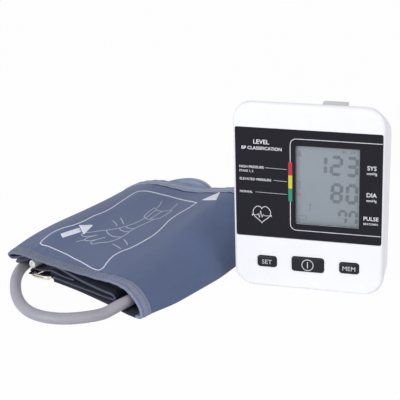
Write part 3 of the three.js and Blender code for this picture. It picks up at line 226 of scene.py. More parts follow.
# Pieces of the face, in mm: x from the casing's middle, z from the standing face, and depths from its front
PANEL_DEPTHS, WINDOW_DEPTHS, GLASS_DEPTHS = (0.0, 1.2), (0.4, 1.2), (3.1, 5.3)
WINDOW_CORNER, WINDOW_RIM, GLASS_CORNER, GLASS_RIM = 1.0, 0.15, 0.4, 0.2
PANEL_PRINT, PANEL_LINE = (-0.035, 0.05), 0.42
LABELS = (
    ("LEVEL", -32.2, 104.9, 4.3, "CENTER"),
    ("BP CLASSIFICATION", -31.9, 100.7, 3.15, "CENTER"),
    ("HIGH PRESSURE", -47.7, 87.3, 2.45, "LEFT"),
    ("STAGE 1, 2", -47.7, 84.4, 2.1, "LEFT"),
    ("ELEVATED PRESSURE", -47.5, 78.5, 2.4, "LEFT"),
    ("NORMAL", -47.5, 69.3, 2.2, "LEFT"),
    ("SYS", 43.1, 91.2, 4.2, "CENTER"),
    ("mmHg", 43.1, 88.0, 2.6, "CENTER"),
    ("DIA", 43.1, 72.2, 4.2, "CENTER"),
    ("mmHg", 43.1, 68.9, 2.6, "CENTER"),
    ("PULSE", 43.0, 55.4, 3.9, "CENTER"),
    ("BEATS/MIN", 42.9, 52.2, 2.05, "CENTER"),
)
LETTER_THICK = 0.03
BOLD_FROM, BOLD, LIGHT = 3.0, 0.05, 0.02  # letters taller than the first are drawn bolder
LEADERS, LEADER_LINE = ((-29.6, 88.1), (-23.8, 79.4), (-36.4, 70.2)), 0.2
LEADER_END, LEADER_DROP = -14.4, 0.25
LEVELS = (
    ("red", 83.8, 93.2, (0.47, 0.014, 0.022)),
    ("yellow", 74.5, 83.8, (0.66, 0.58, 0.028)),
    ("green", 65.2, 74.5, (0.012, 0.27, 0.145)),
)
LEVEL_WIDE, LEVEL_CORNER, LEVEL_DEPTHS, LEVEL_RIM = 2.7, 0.25, (-0.05, 0.05), 0.02
BORDER_LEFT, BORDER_RIGHT, BORDER_LOW, BORDER_HIGH, BORDER_CORNER = -12.15, 49.9, 44.4, 109.9, 4.2
HEART_X, HEART_Z, HEART_WIDE, HEART_TALL = -32.15, 54.5, 0.385, 0.465
PULSE = (
    (-38.6, 53.4), (-35.4, 53.4), (-34.7, 54.6), (-33.9, 51.4), (-33.0, 56.8), (-32.0, 51.8), (-31.2, 54.1),
    (-30.4, 53.2), (-25.7, 53.2),
)
PULSE_LINE, PULSE_ENDS, PULSE_END_Z, PULSE_END_LINE = 0.3, (-38.7, -25.6), (52.7, 53.9), 0.7

# The screen: depths of its digits and marks; each row of digits by its right end, foot, width, height, pitch
# and the width of a bar; strokes by their ends and width, and dots by their height and colour
DIGIT_DEPTHS, MARK_DEPTHS = (3.06, 3.12), (3.07, 3.12)
READINGS = (
    ("123", 33.5, 84.4, 8.9, 14.5, 10.6, 2.373),
    ("80", 33.4, 64.9, 8.5, 14.6, 10.3, 2.373),
    ("77", 33.3, 49.9, 6.3, 10.6, 7.1, 1.808),
)
SEGMENTS = {"0": "abcdef", "1": "bc", "2": "abged", "3": "abgcd", "7": "abcf", "8": "abcdefg"}
DIGIT_LEAN = 0.035
SEGMENT_GAP, SEGMENT_TIP = 0.16, 0.32  # space at a bar's ends and length of its points, by its width
BATTERY = ((-8.0, 51.6), (-2.0, 51.6), (-2.0, 54.2), (-8.0, 54.2))
STROKES = (
    *((*ends, 0.5) for ends in zip(BATTERY, BATTERY[1:] + BATTERY[:1])),
    ((-1.9, 52.9), (-1.4, 52.9), 1.1), ((0.9, 58.6), (0.9, 61.4), 0.8), ((0.2, 62.6), (1.6, 62.6), 1.2),
    ((-7.7, 97.6), (-4.9, 97.6), 1.4),
    *(((x, 101.6), (x + 1.0, 101.6), 1.8) for x in (22.8, 24.2, 28.4, 30.2)),
)
DOT_X, DOT_RADIUS = -6.6, 1.3
MARK_RING, MARK_RING_LINE = (-6.4, 99.4, 0.8), 0.6
DOTS = (
    ("blue", 78.4, (0.12, 0.155, 0.25)),
    ("violet", 74.2, (0.15, 0.13, 0.24)),
    ("red", 69.4, (0.27, 0.10, 0.14)),
)

# Buttons: width, height and word of each; then their height on the face, the depth of their tops, and corners
BUTTONS = (("set", 13.4, 8.0, "SET"), ("start", 22.4, 10.6, ""), ("memory", 13.4, 8.0, "MEM"))
BUTTON_Z, KEY_TOP, KEY_CORNER = 19.5, -1.0, 2.0
KEY_BACK = ((4.1, 2.6), (4.1, -1.1), (3.0, -1.1), (2.9, 0.0))  # depths and insets of its back and flange
STEM_FROM, STEM_PROFILE = 3.2, ((0, 1.6), (0.2, 2.0), (3.6, 2.0), (3.8, 1.7))
LEGEND_DEPTHS = (-0.03, 0.25)
WORD_SIZE, WORD_DROP, WORD_DEPTH, WORD_THICK, WORD_BOLD = 4.6, 1.6, 0.1, 0.12, -0.02
SIGN_RADIUS, SIGN_LINE, SIGN_BAR, SIGN_BAR_LINE = 3.95, 0.5, 2.3, 0.6

SENSOR_WIDTH = 36.0

# Lamps: their place in metres, size and colour, and the point they look at
LAMP_TARGET = (-0.06, 0.0, 0.05)
LAMPS = (
    ("key", (-1.15, -2.2, 0.5), 1.5, (0.97, 1.0, 1.0)),
    ("fill", (1.45, -0.75, 0.85), 1.2, (1.0, 0.965, 1.0)),
    ("top", (-0.1, 0.25, 1.6), 1.4, (1.0, 0.975, 1.0)),
)
AMBIENT_COLOUR = (0.975, 0.952, 1.0)
FLOOR_HALF, FLOOR_HEIGHT = 3.0, -0.0002
FLOOR_COLOUR, FLOOR_WHITE = (0.88, 0.88, 0.89), 0.97  # the second is the share of plain white where it shows
BEND = np.linspace(-np.pi / 2, np.pi / 2, 9)  # angles of a half circle round a folded edge
QUARTER = np.linspace(0, np.pi / 2, 9)  # angles of a rounded corner


# Sizes and colours

def number(name, description, default, **more):
    """A plain number that a user may change."""
    return FloatProperty(name=name, description=description, default=default, **more)


def length(name, description, default):
    """A length in metres that a user may change."""
    return number(name, description, default, unit="LENGTH", subtype="DISTANCE")


def turn(name, description, degrees):
    """An angle that a user may change."""
    return number(name, description, math.radians(degrees), subtype="ANGLE")


def tint(name, description, default):
    """A linear colour that a user may change."""
    return FloatVectorProperty(name=name, description=description, default=default, size=3, subtype="COLOR",
                               min=0.0, max=1.0)


class MonitorSizes(bpy.types.PropertyGroup):
    """Sizes of the monitor's dressed pieces."""
    panel_width: length("Panel width", "Black display panel, across", PANEL_HIGH[0] - PANEL_LOW[0])
    panel_height: length("Panel height", "Black display panel, up and down", PANEL_HIGH[2] - PANEL_LOW[2])
    panel_corner: length("Panel corner", "Radius of the panel's corners", 1.2 * MM)
    window_gap: length("Window gap", "Gap all round the display window", 0.3 * MM)
    rim: length("Rim", "Rounding of thin plates", 0.25 * MM)
    key_rounding: length("Key rounding", "Rounding of the buttons' edges", 0.8 * MM)
    key_crown: length("Key crown", "How far the buttons' faces bulge", 0.25 * MM)
    edge_rounding: length("Edge rounding", "Rounding of the casing's sharp edges", 0.2 * MM)


class CuffSizes(bpy.types.PropertyGroup):
    """Sizes of the arm cuff's dressed pieces."""
    cloth: length("Cloth", "Thickness of the band with its bladder", 1.8 * MM)
    tape: length("Tape", "Thickness of the bound edge", 2.2 * MM)
    tape_width: length("Tape width", "Width of the bound edge", 9 * MM)
    ripple: length("Ripple", "Height of the cloth's low waves", 0.75 * MM)
    pucker: length("Pucker", "Height of the puckers beside the binding", 0.16 * MM)
    stitch: length("Stitch", "Length of one stitch", 2.3 * MM)
    stitch_pitch: length("Stitch pitch", "From one stitch to the next", 3.4 * MM)
    thread: length("Thread", "Radius of the sewing thread", 0.2 * MM)
    print_line: length("Print line", "Width of the printed lines", 0.9 * MM)
    hose_diameter: length("Hose diameter", "Outside of the air hose", 8 * MM)
    along: IntProperty(name="Steps along", description="Rows of the cloth along its length", default=440,
                       min=60, max=900)
    across: IntProperty(name="Steps across", description="Rows of the cloth across its width", default=64,
                        min=8, max=200)


class Finishes(bpy.types.PropertyGroup):
    """Colours of the finishes, linear."""
    casing: tint("Casing", "White moulded casing", (0.92, 0.93, 0.955))
    panel: tint("Panel", "Gloss black display panel", (0.0088, 0.0086, 0.0150))
    screen: tint("Screen", "Grey of the unlit screen", (0.215, 0.256, 0.295))
    segment: tint("Segment", "Lit segments", (0.030, 0.042, 0.066))
    key: tint("Key", "Black button tops", (0.0072, 0.0070, 0.0138))
    ink: tint("Ink", "White print", (0.82, 0.82, 0.84))
    tab: tint("Tab", "Grey latch tab", (0.72, 0.72, 0.725))
    cloth: tint("Cloth", "Blue outer cloth", (0.124, 0.171, 0.307))
    lining: tint("Lining", "Dark inner face of the cloth", (0.016, 0.021, 0.040))
    # painted shade: the binding's own tape, darkened where it lies inside the roll and under it
    shaded_tape: tint("Inner tape", "Dark binding of the inner layers", (0.018, 0.024, 0.048))
    tape: tint("Tape", "Grey-blue binding", (0.178, 0.205, 0.288))
    hose: tint("Hose", "Light grey hose", (0.375, 0.373, 0.418))
    plug: tint("Plug", "White plug", (0.93, 0.94, 0.96))


class StudioSetting(bpy.types.PropertyGroup):
    """Camera, lamps and surroundings."""
    azimuth: turn("Azimuth", "Camera's place round the object, from straight in front", 16.5965)
    pitch: turn("Pitch", "How far the camera looks down", 20.7)
    roll: turn("Roll", "Camera's turn about its own line", 1.658)
    distance: length("Distance", "Camera to the point it looks at", 0.94455)
    target: FloatVectorProperty(name="Target", description="Point that the camera looks at", size=3,
                                default=(-0.0761, -0.015, 0.0611), subtype="TRANSLATION", unit="LENGTH")
    lens: number("Lens", "Focal length in mm on a 36 mm sensor", 122.75, unit="CAMERA")
    ambient: number("Ambient", "Light from all round", 0.52)
    key_power: number("Key power", "Lamp in front, up on the left", 34.8, unit="POWER")
    fill_power: number("Fill power", "Lamp on the right", 6.6, unit="POWER")
    top_power: number("Top power", "Lamp above", 0.2, unit="POWER")


# Curves and meshes

def curve_at(knots, u):
    """Centripetal Catmull-Rom curve: in each span the cubic whose end slopes weigh the three chords round
    it by the square roots of their lengths; u runs evenly over the knots."""
    knots = np.asarray(knots, float)
    wide = np.vstack([2 * knots[0] - knots[1], knots, 2 * knots[-1] - knots[-2]])
    place = np.clip(np.asarray(u, float), 0, 1) * (len(knots) - 1)
    span = np.minimum(place.astype(int), len(knots) - 2)
    f = (place - span)[..., None]
    p0, p1, p2, p3 = (wide[span + k] for k in range(4))
    d0, d1, d2 = (np.sqrt(np.linalg.norm(b - a, axis=-1, keepdims=True))
                  for a, b in ((p0, p1), (p1, p2), (p2, p3)))
    m1 = ((p1 - p0) / d0 - (p2 - p0) / (d0 + d1) + (p2 - p1) / d1) * d1
    m2 = ((p2 - p1) / d1 - (p3 - p1) / (d1 + d2) + (p3 - p2) / d2) * d1
    return (p1 + m1 * f + (3 * (p2 - p1) - 2 * m1 - m2) * f ** 2
            + (m1 + m2 - 2 * (p2 - p1)) * f ** 3)


def bent(points, steps):
    """Smooth line through a few points, in even steps between them."""
    return curve_at(points, np.linspace(0, 1, steps))


def unit(vectors):
    """Each vector divided by its length."""
    return vectors / np.maximum(np.linalg.norm(vectors, axis=-1, keepdims=True), 1e-12)


def way_along(path, closed=False):
    """Unit direction of a path at each of its points."""
    return unit(np.roll(path, -1, 0) - np.roll(path, 1, 0) if closed else np.gradient(path, axis=0))


def grid_faces(rows, columns, rows_closed=False, columns_closed=False):
    """Quads between neighbouring points of a grid whose points are numbered row by row."""
    r = np.arange(rows if rows_closed else rows - 1)[:, None]
    c = np.arange(columns if columns_closed else columns - 1)[None, :]
    nr, nc = (r + 1) % rows, (c + 1) % columns
    quads = np.stack([r * columns + c, r * columns + nc, nr * columns + nc, nr * columns + c], -1)
    return quads.reshape(-1, 4)


def volume(points, faces):
    """Signed volume: a sixth of the sum of a . (b x c) over each face split into a fan."""
    total = 0.0
    groups = {}
    for face in faces:
        groups.setdefault(len(face), []).append(face)
    for count, same in groups.items():
        corner = points[np.array(same)]
        for k in range(1, count - 1):
            total += np.einsum("ij,ij->", corner[:, 0], np.cross(corner[:, k], corner[:, k + 1]))
    return total / 6


def put(name, points, faces, uv=None, smooth=True):
    """A mesh object at the origin from points in metres; the faces are turned so that they point outwards."""
    points = np.asarray(points, float).reshape(-1, 3)
    faces = [list(f) for f in faces]
    if volume(points - points.mean(0), faces) < 0:
        faces = [f[::-1] for f in faces]
    mesh = bpy.data.meshes.new(name)
    mesh.from_pydata(points.tolist(), [], faces)
    if uv is not None:
        corner = np.empty(len(mesh.loops), dtype=np.int32)
        mesh.loops.foreach_get("vertex_index", corner)
        layer = mesh.uv_layers.new(name="UVMap")
        layer.data.foreach_set("uv", np.asarray(uv, float).reshape(-1, 2)[corner].ravel())
    mesh.polygons.foreach_set("use_smooth", [smooth] * len(mesh.polygons))
    mesh.update()
    obj = bpy.data.objects.new(name, mesh)
    bpy.context.scene.collection.objects.link(obj)
    return obj


def uv_grid(along, across):
    """UV map of a grid: the way along its rows and the way across them."""
    return np.stack(np.meshgrid(along, across, indexing="ij"), -1)


def rings_solid(rings, capped=True):
    """Points and faces of a solid through rings of equally many points, with a flat cap at each end."""
    rings = np.asarray(rings, float)
    count, each = rings.shape[:2]
    faces = grid_faces(count, each, rows_closed=not capped, columns_closed=True).tolist()
    if capped:
        faces.append(list(range(each))[::-1])
        faces.append(list(range((count - 1) * each, count * each)))
    return rings.reshape(-1, 3), faces


def two_faced(outer, inner):
    """Points and faces of a sheet between two equal grids of points, closed all round its border."""
    rows, columns = outer.shape[:2]
    shift = rows * columns
    place = np.arange(shift).reshape(rows, columns)
    border = np.concatenate([place[0, :-1], place[:-1, -1], place[-1, :0:-1], place[:0:-1, 0]])
    after = np.roll(border, -1)
    face = grid_faces(rows, columns)
    walls = np.stack([after, border, border + shift, after + shift], -1)
    points = np.concatenate([outer.reshape(-1, 3), inner.reshape(-1, 3)])
    return points, face.tolist() + (face[:, ::-1] + shift).tolist() + walls.tolist()


def join_parts(parts):
    """One set of points and faces out of several."""
    points, faces, first = [], [], 0
    for part_points, part_faces in parts:
        part_points = np.asarray(part_points, float).reshape(-1, 3)
        if volume(part_points - part_points.mean(0), part_faces) < 0:
            part_faces = [list(f)[::-1] for f in part_faces]
        points.append(part_points)
        faces.extend([[int(i) + first for i in face] for face in part_faces])
        first += len(part_points)
    return np.vstack(points), faces


def rounded_ring(width, height, corner, x, z, y, steps):
    """Rounded rectangle in the plane of one depth: four quarter circles joined by straight sides, in mm."""
    corner = min(corner, width / 2 - 0.01, height / 2 - 0.01)
    angle = np.linspace(0, np.pi / 2, steps + 1)
    quarter = np.arange(4)[:, None] * np.pi / 2 + angle
    side_x = np.array([1, -1, -1, 1])[:, None] * (width / 2 - corner)
    side_z = np.array([1, 1, -1, -1])[:, None] * (height / 2 - corner)
    ring_x = x + side_x + corner * np.cos(quarter)
    ring_z = z + side_z + corner * np.sin(quarter)
    return np.stack([ring_x.ravel(), np.full(ring_x.size, y), ring_z.ravel()], -1)


def stack(width, height, corner, x, z, levels, steps=7):
    """Rounded rectangles one behind the other: each level gives a depth and how far the outline is drawn in;
    the corner is drawn in with it."""
    return np.array([
        rounded_ring(width - 2 * inset, height - 2 * inset, max(corner - inset, 0.15), x, z, y, steps)
        for y, inset in levels])


def rounding(radius, y, sign, steps=4):
    """Levels of a rounded edge: the depth goes with 1 - cos and the inset with 1 - sin of the same angle."""
    angle = np.linspace(0, np.pi / 2, steps + 1)
    return [(y + sign * radius * (1 - math.cos(a)), radius * (1 - math.sin(a))) for a in angle]


def plate(width, height, corner, x, z, front, back, rim, steps=7):
    """Rings of a plate with rounded rims, from its front edge to its back edge, in mm."""
    levels = rounding(rim, front, 1) + rounding(rim, back, -1)[::-1]
    return stack(width, height, corner, x, z, levels, steps)


def framed_plate(outer, hole, front, back, rim):
    """Closed rings of a plate with an opening: round the outside, over the back and through the hole."""
    outside = plate(*outer, front, back, rim)
    levels = [(y, -inset) for y, inset in rounding(rim, back, -1) + rounding(rim, front, 1)[::-1]]
    inside = stack(*hole, levels)
    return np.concatenate([outside, inside])


def on_face(points):
    """Points in mm on the casing's own depth, moved to the row frame in metres."""
    return (np.asarray(points, float) + [0, DEPTH_SHIFT, 0]) * MM


def on_face_all(shapes):
    """One shape out of several that are given in mm on the casing's own depth."""
    return join_parts([(on_face(points), faces) for points, faces in shapes])


def circle(x, z, radius, steps):
    """Places round a circle."""
    angle = np.linspace(0, 2 * np.pi, steps, endpoint=False)
    return np.column_stack([x + radius * np.cos(angle), z + radius * np.sin(angle)])


def sweep(path, radius, sides, closed=False):
    """Tube along a path: at each point a circle square to the path, whose side lies level."""
    way = way_along(path, closed)
    side = unit(np.cross(way, (0, 0, 1)))
    lift = np.cross(side, way)
    angle = np.linspace(0, 2 * np.pi, sides, endpoint=False)[None, :, None]
    return path[:, None] + radius * (side[:, None] * np.cos(angle) + lift[:, None] * np.sin(angle))


def lathe(profile, start, way, sides=40):
    """Turned shape about a level axis: each pair of the profile is a distance along it and a radius."""
    way = unit(np.asarray(way, float))
    side = unit(np.cross(way, (0, 0, 1.0)))
    lift = np.cross(side, way)
    profile = np.asarray(profile, float)[:, :, None, None]
    angle = np.linspace(0, 2 * np.pi, sides, endpoint=False)[None, :, None]
    return start + profile[:, 0] * way + profile[:, 1] * (side * np.cos(angle) + lift * np.sin(angle))


def arc_length(points):
    """Distance along a polyline, up to each of its points."""
    return np.concatenate([[0.0], np.cumsum(np.linalg.norm(np.diff(points, axis=0), axis=1))])


# The roll's cloth

def cuff_point(s, t, h):
    """Row frame, in metres, of a point given by s to the right, t to the far end and its height, in mm."""
    cos, sin = math.cos(CUFF_TURN), math.sin(CUFF_TURN)
    s, t, h = np.broadcast_arrays(s, t, h)
    return np.stack([CUFF_X + s * cos + t * sin, CUFF_Y - s * sin + t * cos, h], -1) * MM


def ease(x):
    """3x² - 2x³, held between 0 and 1."""
    x = np.clip(x, 0, 1)
    return x * x * (3 - 2 * x)


def rise(x, low, high):
    """Eased step from nought at the low value to one at the high value."""
    return ease((x - low) / (high - low))


def plateau(x, marks):
    """Eased step up between the first two marks, and down between the last two."""
    return rise(x, *marks[:2]) * rise(-x, -marks[3], -marks[2])


def cloth_middle(u, v):
    """Middle of the cloth: the near and the far section line blended by v. The right side sags outwards and
    the left shoulder stands up between the ends. The inner turn reaches further out by a sine to the fourth
    power over its knots, and lifts there beyond the outer turn's edge."""
    near, far = curve_at(NEAR_POINTS, u), curve_at(FAR_LINE, u)
    knot = np.asarray(u) * SPANS
    sag = SIDE_SAG * plateau(knot, SIDE_KNOTS) * plateau(v, SIDE_SHARES)
    front = np.clip(v / 0.8, 0, 1)
    s = near[..., 0] + (far[..., 0] - near[..., 0]) * v + sag
    hump = 6.75 * front * (1 - front) ** 2  # its highest value is one
    h = near[..., 1] + (far[..., 1] - near[..., 1]) * v + SHOULDER * plateau(knot, SHOULDER_KNOTS) * hump
    first, last = INNER_KNOTS
    swell = np.sin(np.pi * np.clip((knot - first) / (last - first), 0, 1)) ** 4
    start = -CUFF_SKEW * near[..., 0] - near[..., 2]
    t = start + (CUFF_WIDTH + TELESCOPE * swell - start) * v
    lift = TELESCOPE_LIFT * swell * rise(v, COVERED, 1)
    return np.stack([s, t, np.maximum(h, LOWEST) + lift], -1)


def section_normal(u, v):
    """Direction out of the roll in its section: the line's own way turned by a quarter."""
    step = 0.003
    way = cloth_middle(np.minimum(u + step, 1), v) - cloth_middle(np.maximum(u - step, 0), v)
    way = np.stack([way[..., 2], np.zeros_like(way[..., 0]), -way[..., 0]], -1)
    return unit(way)


def cloth_wave(u, v, sizes):
    """Low waves of the outer turn, as sines of the places along and across the band, and short puckers that
    die away from the bindings."""
    knot = np.asarray(u) * SPANS
    along, across = knot * KNOT_LENGTH, v * CUFF_WIDTH
    broad = (np.sin(along / 11.0 + across / 31.0) * 0.5 + np.sin(along / 6.3 - across / 17.0 + 1.3) * 0.3
             + np.sin(across / 9.0 + along / 23.0 + 0.4) * 0.2)
    edge = np.minimum(v, 1 - v) * CUFF_WIDTH - sizes.tape_width / MM
    pucker = np.exp(-np.maximum(edge, 0) / 5.0) * np.sin(along * 0.72 + 0.8 * np.sin(along * 0.11))
    inside = ease((edge + 6.0) / 14.0)
    return plateau(knot, WAVE_KNOTS) * (broad * sizes.ripple * inside + pucker * sizes.pucker) / MM


def cloth_surface(u, v, offset, sizes):
    """Point of the cloth at a distance out of its middle, in mm, in the row frame."""
    middle = cloth_middle(u, v)
    normal = section_normal(u, v)
    place = middle + normal * (offset + cloth_wave(u, v, sizes))[..., None]
    return cuff_point(place[..., 0], place[..., 1], np.maximum(place[..., 2], 0.02))


def band_grid(sizes):
    """u and v of the band's rows and columns; its edges lie under the tape."""
    across = np.linspace(CLOTH_EDGE, 1 - CLOTH_EDGE, sizes.across)
    return np.linspace(0, 1, sizes.along)[:, None], across[None, :]


def way_round(sizes):
    """Way round the roll up to each row of the band, at the middle of its width, in metres."""
    return arc_length(cloth_middle(*band_grid(sizes))[:, sizes.across // 2]) * MM


def top_place(s, t):
    """u and v on the roll's top for a place given by s and t: a look-up on the middle line, then three steps
    of Newton's method."""
    s, t = np.asarray(s, float), np.asarray(t, float)
    low, high = TOP_KNOTS[0] / SPANS, TOP_KNOTS[1] / SPANS
    table = np.linspace(low, high, 200)
    middle = cloth_middle(table, 0.5)[:, 0]
    u = np.interp(-s, -middle, table)
    v = t / CUFF_WIDTH
    step = 1e-4
    for _ in range(3):
        here = cloth_middle(u, v)
        slope = (cloth_middle(u + step, v)[..., 0] - here[..., 0]) / step
        u = np.clip(u - (here[..., 0] - s) / slope, low, high)
        v = v - (here[..., 1] - t) / CUFF_WIDTH
    return u, v


# Finishes

class Finish:
    """A node material: its Principled shader, with short ways to add and join nodes."""

    def __init__(self, name, colour, roughness, **sockets):
        self.material = bpy.data.materials.new(name)
        self.material.use_nodes = True
        self.tree = self.material.node_tree
        self.shader = self.tree.nodes["Principled BSDF"]
        self.colour = (*colour, 1.0)
        self.shader.inputs["Base Color"].default_value = self.colour
        self.shader.inputs["Roughness"].default_value = roughness
        for socket, value in sockets.items():
            self.shader.inputs[socket.replace("_", " ")].default_value = value
        self.place = self.add("ShaderNodeTexCoord").outputs["Object"]
        self.height = None

    def add(self, kind, inputs=None, **settings):
        """A new node with its settings; an input is joined if it is a socket, and set if it is a value."""
        node = self.tree.nodes.new(kind)
        for key, value in settings.items():
            setattr(node, key, value)
        for key, value in (inputs or {}).items():
            if isinstance(value, bpy.types.NodeSocket):
                self.tree.links.new(value, node.inputs[key])
            else:
                node.inputs[key].default_value = value
        return node

    def uv(self, scale=(1, 1, 1)):
        """The piece's own UV map, scaled."""
        source = self.add("ShaderNodeUVMap", uv_map="UVMap").outputs["UV"]
        return self.add("ShaderNodeMapping", {"Vector": source, "Scale": scale}).outputs["Vector"]

    def mapped(self, rotation=(0, 0, 0), scale=(1, 1, 1)):
        """Object coordinates, turned and scaled."""
        inputs = {"Vector": self.place, "Rotation": rotation, "Scale": scale}
        return self.add("ShaderNodeMapping", inputs).outputs["Vector"]

    def part(self, vector, axis):
        """One of a vector's three parts."""
        return self.add("ShaderNodeSeparateXYZ", {0: vector}).outputs[axis]

    def noise(self, size, detail=3.0, vector=None):
        """Noise of a feature size in metres."""
        inputs = {"Vector": vector or self.place, "Scale": 1 / size, "Detail": detail, "Roughness": 0.55}
        return self.add("ShaderNodeTexNoise", inputs).outputs["Fac"]

    def bands(self, pitch, direction, distortion, detail_scale=1.0):
        """Sine bands of a pitch in metres on the UV map, one after another in one of its directions."""
        inputs = {"Vector": self.uv(), "Scale": WAVE_PITCH / pitch, "Distortion": distortion,
                  "Detail Scale": detail_scale}
        node = self.add("ShaderNodeTexWave", inputs, wave_type="BANDS", bands_direction=direction)
        return node.outputs["Fac"]

    def math(self, operation, a, b=0.0):
        """One sum on one or two values."""
        return self.add("ShaderNodeMath", {0: a, 1: b}, operation=operation).outputs[0]

    def between(self, value, low, high, out_low, out_high):
        """A value carried from one range to another, held at the ends."""
        return self.add("ShaderNodeMapRange", {"Value": value, "From Min": low, "From Max": high,
                                               "To Min": out_low, "To Max": out_high}).outputs["Result"]

    def spread(self, pattern, low, high):
        """A pattern's usual range carried to another one."""
        return self.between(pattern, 0.3, 0.7, low, high)

    def away(self, value, middle):
        """How far a value is from a middle one."""
        return self.math("ABSOLUTE", self.math("SUBTRACT", value, middle))

    def mix(self, factor, first, second):
        """Two colours mixed."""
        return self.add("ShaderNodeMix", {0: factor, 6: first, 7: second}, data_type="RGBA").outputs[2]

    def scaled(self, colour, level):
        """A colour made lighter or darker by a level."""
        return self.add("ShaderNodeVectorMath", {0: colour, "Scale": level}, operation="SCALE").outputs[0]

    def join(self, output, socket):
        """Joins an output to one of the shader's sockets."""
        self.tree.links.new(output, self.shader.inputs[socket])

    def shade(self, pattern, amount):
        """Lets a pattern darken and lighten the colour a little about the written one."""
        shaded = self.scaled(self.colour[:3], self.spread(pattern, 1 - amount, 1 + amount))
        self.join(shaded, "Base Color")
        return shaded

    def rough(self, pattern, low, high):
        """Roughness between two values, by a pattern."""
        self.join(self.spread(pattern, low, high), "Roughness")

    def bump(self, output, depth):
        """Relief of a depth in metres; each call lies on the one before."""
        node = self.add("ShaderNodeBump", {"Height": output, "Distance": depth, "Strength": 1.0})
        if self.height is not None:
            self.tree.links.new(self.height, node.inputs["Normal"])
        self.height = node.outputs["Normal"]
        self.join(self.height, "Normal")


def moulded(name, colour, roughness, grain=0.5 * MM, depth=0.012 * MM, spread=0.02, **sockets):
    """Moulded plastic: fine grain in relief, and a slight unevenness in colour and gloss."""
    finish = Finish(name, colour, roughness, **sockets)
    finish.shade(finish.noise(30 * MM), spread)
    finish.rough(finish.noise(6 * MM, 4.0), roughness - 0.04, roughness + 0.05)
    finish.bump(finish.noise(grain, 2.0), depth)
    return finish.material


def metal(name, colour, roughness, stretch=(1, 1, 1), depth=0.004 * MM):
    """Metal with fine drawn lines and small stains."""
    finish = Finish(name, colour, roughness, Metallic=1.0)
    lines = finish.noise(0.5 * MM, 3.0, finish.mapped(scale=stretch))
    finish.shade(finish.noise(7 * MM, 4.0), 0.07)
    finish.rough(lines, roughness - 0.06, roughness + 0.10)
    finish.bump(lines, depth)
    return finish.material


def black_gloss(name, colour):
    """Printed black acrylic: deep colour under a polished face with faint dust and a soft wave."""
    finish = Finish(name, colour, 0.12, Specular_IOR_Level=0.2)
    finish.rough(finish.noise(1.2 * MM, 4.0), 0.08, 0.2)
    finish.shade(finish.noise(14 * MM, 3.0), 0.06)
    finish.bump(finish.noise(22 * MM, 1.0), 0.01 * MM)
    return finish.material


def clear_plastic(name):
    """Clear window: little colour of its own, a polished face and faint wipe marks."""
    finish = Finish(name, (0.75, 0.80, 0.82), 0.05, Alpha=0.10, Specular_IOR_Level=0.35)
    wipes = finish.noise(2 * MM, 3.0, finish.mapped(rotation=(0, 0.5, 0), scale=(1, 1, 6)))
    finish.rough(wipes, 0.03, 0.12)
    finish.material.blend_method = "BLEND"
    return finish.material


def screen_face(name, colour):
    """Liquid crystal face: a slight fall of tone from the upper left to the lower right, a painted shadow of
    the window's edge that darkens it close to that edge by the distance to its nearest side, and a fine
    grain."""
    finish = Finish(name, colour, 0.32, Specular_IOR_Level=0.25)
    across, above = finish.part(finish.place, "X"), finish.part(finish.place, "Z")
    slope = finish.math("ADD", finish.math("MULTIPLY", across, -1.0), above)
    tone = finish.between(slope, 0.015, 0.105, 0.90, 1.09)
    level = finish.math("MULTIPLY", tone, finish.spread(finish.noise(25 * MM), 0.97, 1.03))
    # painted shadow of the window's edge: darker towards each of its sides
    for value, (middle, size) in zip((across, above), place_and_size(WINDOW_LOW, WINDOW_HIGH)):
        away, half = finish.away(value, middle * MM), size * MM / 2
        shadow = finish.between(away, half - 3.6 * MM, half + 0.2 * MM, 1.0, 0.80)
        level = finish.math("MULTIPLY", level, shadow)
    finish.join(finish.scaled(colour, level), "Base Color")
    finish.bump(finish.noise(0.25 * MM, 2.0), 0.004 * MM)
    return finish.material


def ink(name, colour, roughness=0.5):
    """Printed ink: slightly uneven cover."""
    finish = Finish(name, colour, roughness)
    finish.shade(finish.noise(0.5 * MM, 3.0), 0.05)
    finish.bump(finish.noise(0.3 * MM, 2.0), 0.004 * MM)
    return finish.material


def woven(name, colour, spread=0.08):
    """Plain weave on the UV map: two sets of threads as sines at right angles, in relief, with slubs, broad
    rubbed patches and a soft sheen."""
    finish = Finish(name, colour, 0.62, Sheen_Weight=0.12, Sheen_Roughness=0.4, Specular_IOR_Level=0.3)
    warp, weft = (finish.bands(0.42 * MM, direction, 0.35, 2.0) for direction in ("X", "Y"))
    weave = finish.math("MULTIPLY", warp, weft)
    slub = finish.noise(9 * MM, 4.0, finish.uv((1, 14, 1)))
    patches = finish.math("MULTIPLY", finish.noise(34 * MM), 0.55)
    varied = finish.shade(finish.math("ADD", finish.math("MULTIPLY", slub, 0.45), patches), spread)
    finish.join(finish.scaled(varied, finish.between(weave, 0.0, 0.5, 0.82, 1.06)), "Base Color")
    finish.rough(slub, 0.55, 0.7)
    finish.bump(weave, 0.09 * MM)
    finish.bump(finish.noise(5 * MM, 3.0), 0.16 * MM)
    finish.bump(finish.noise(17 * MM, 2.0), 0.9 * MM)
    return finish.material


def brushed_pile(name, colour):
    """Brushed loop face of the lining: short soft pile without a clear thread."""
    finish = Finish(name, colour, 0.85, Sheen_Weight=0.06, Sheen_Roughness=0.6, Specular_IOR_Level=0.2)
    pile = finish.noise(0.6 * MM, 4.0)
    finish.shade(pile, 0.22)
    finish.bump(pile, 0.18 * MM)
    return finish.material


def tape_length(sizes):
    """Middle of the tape's section, measured round it from the cloth, in metres."""
    return sizes.tape_width - sizes.tape / 2 + math.pi * sizes.tape / 4


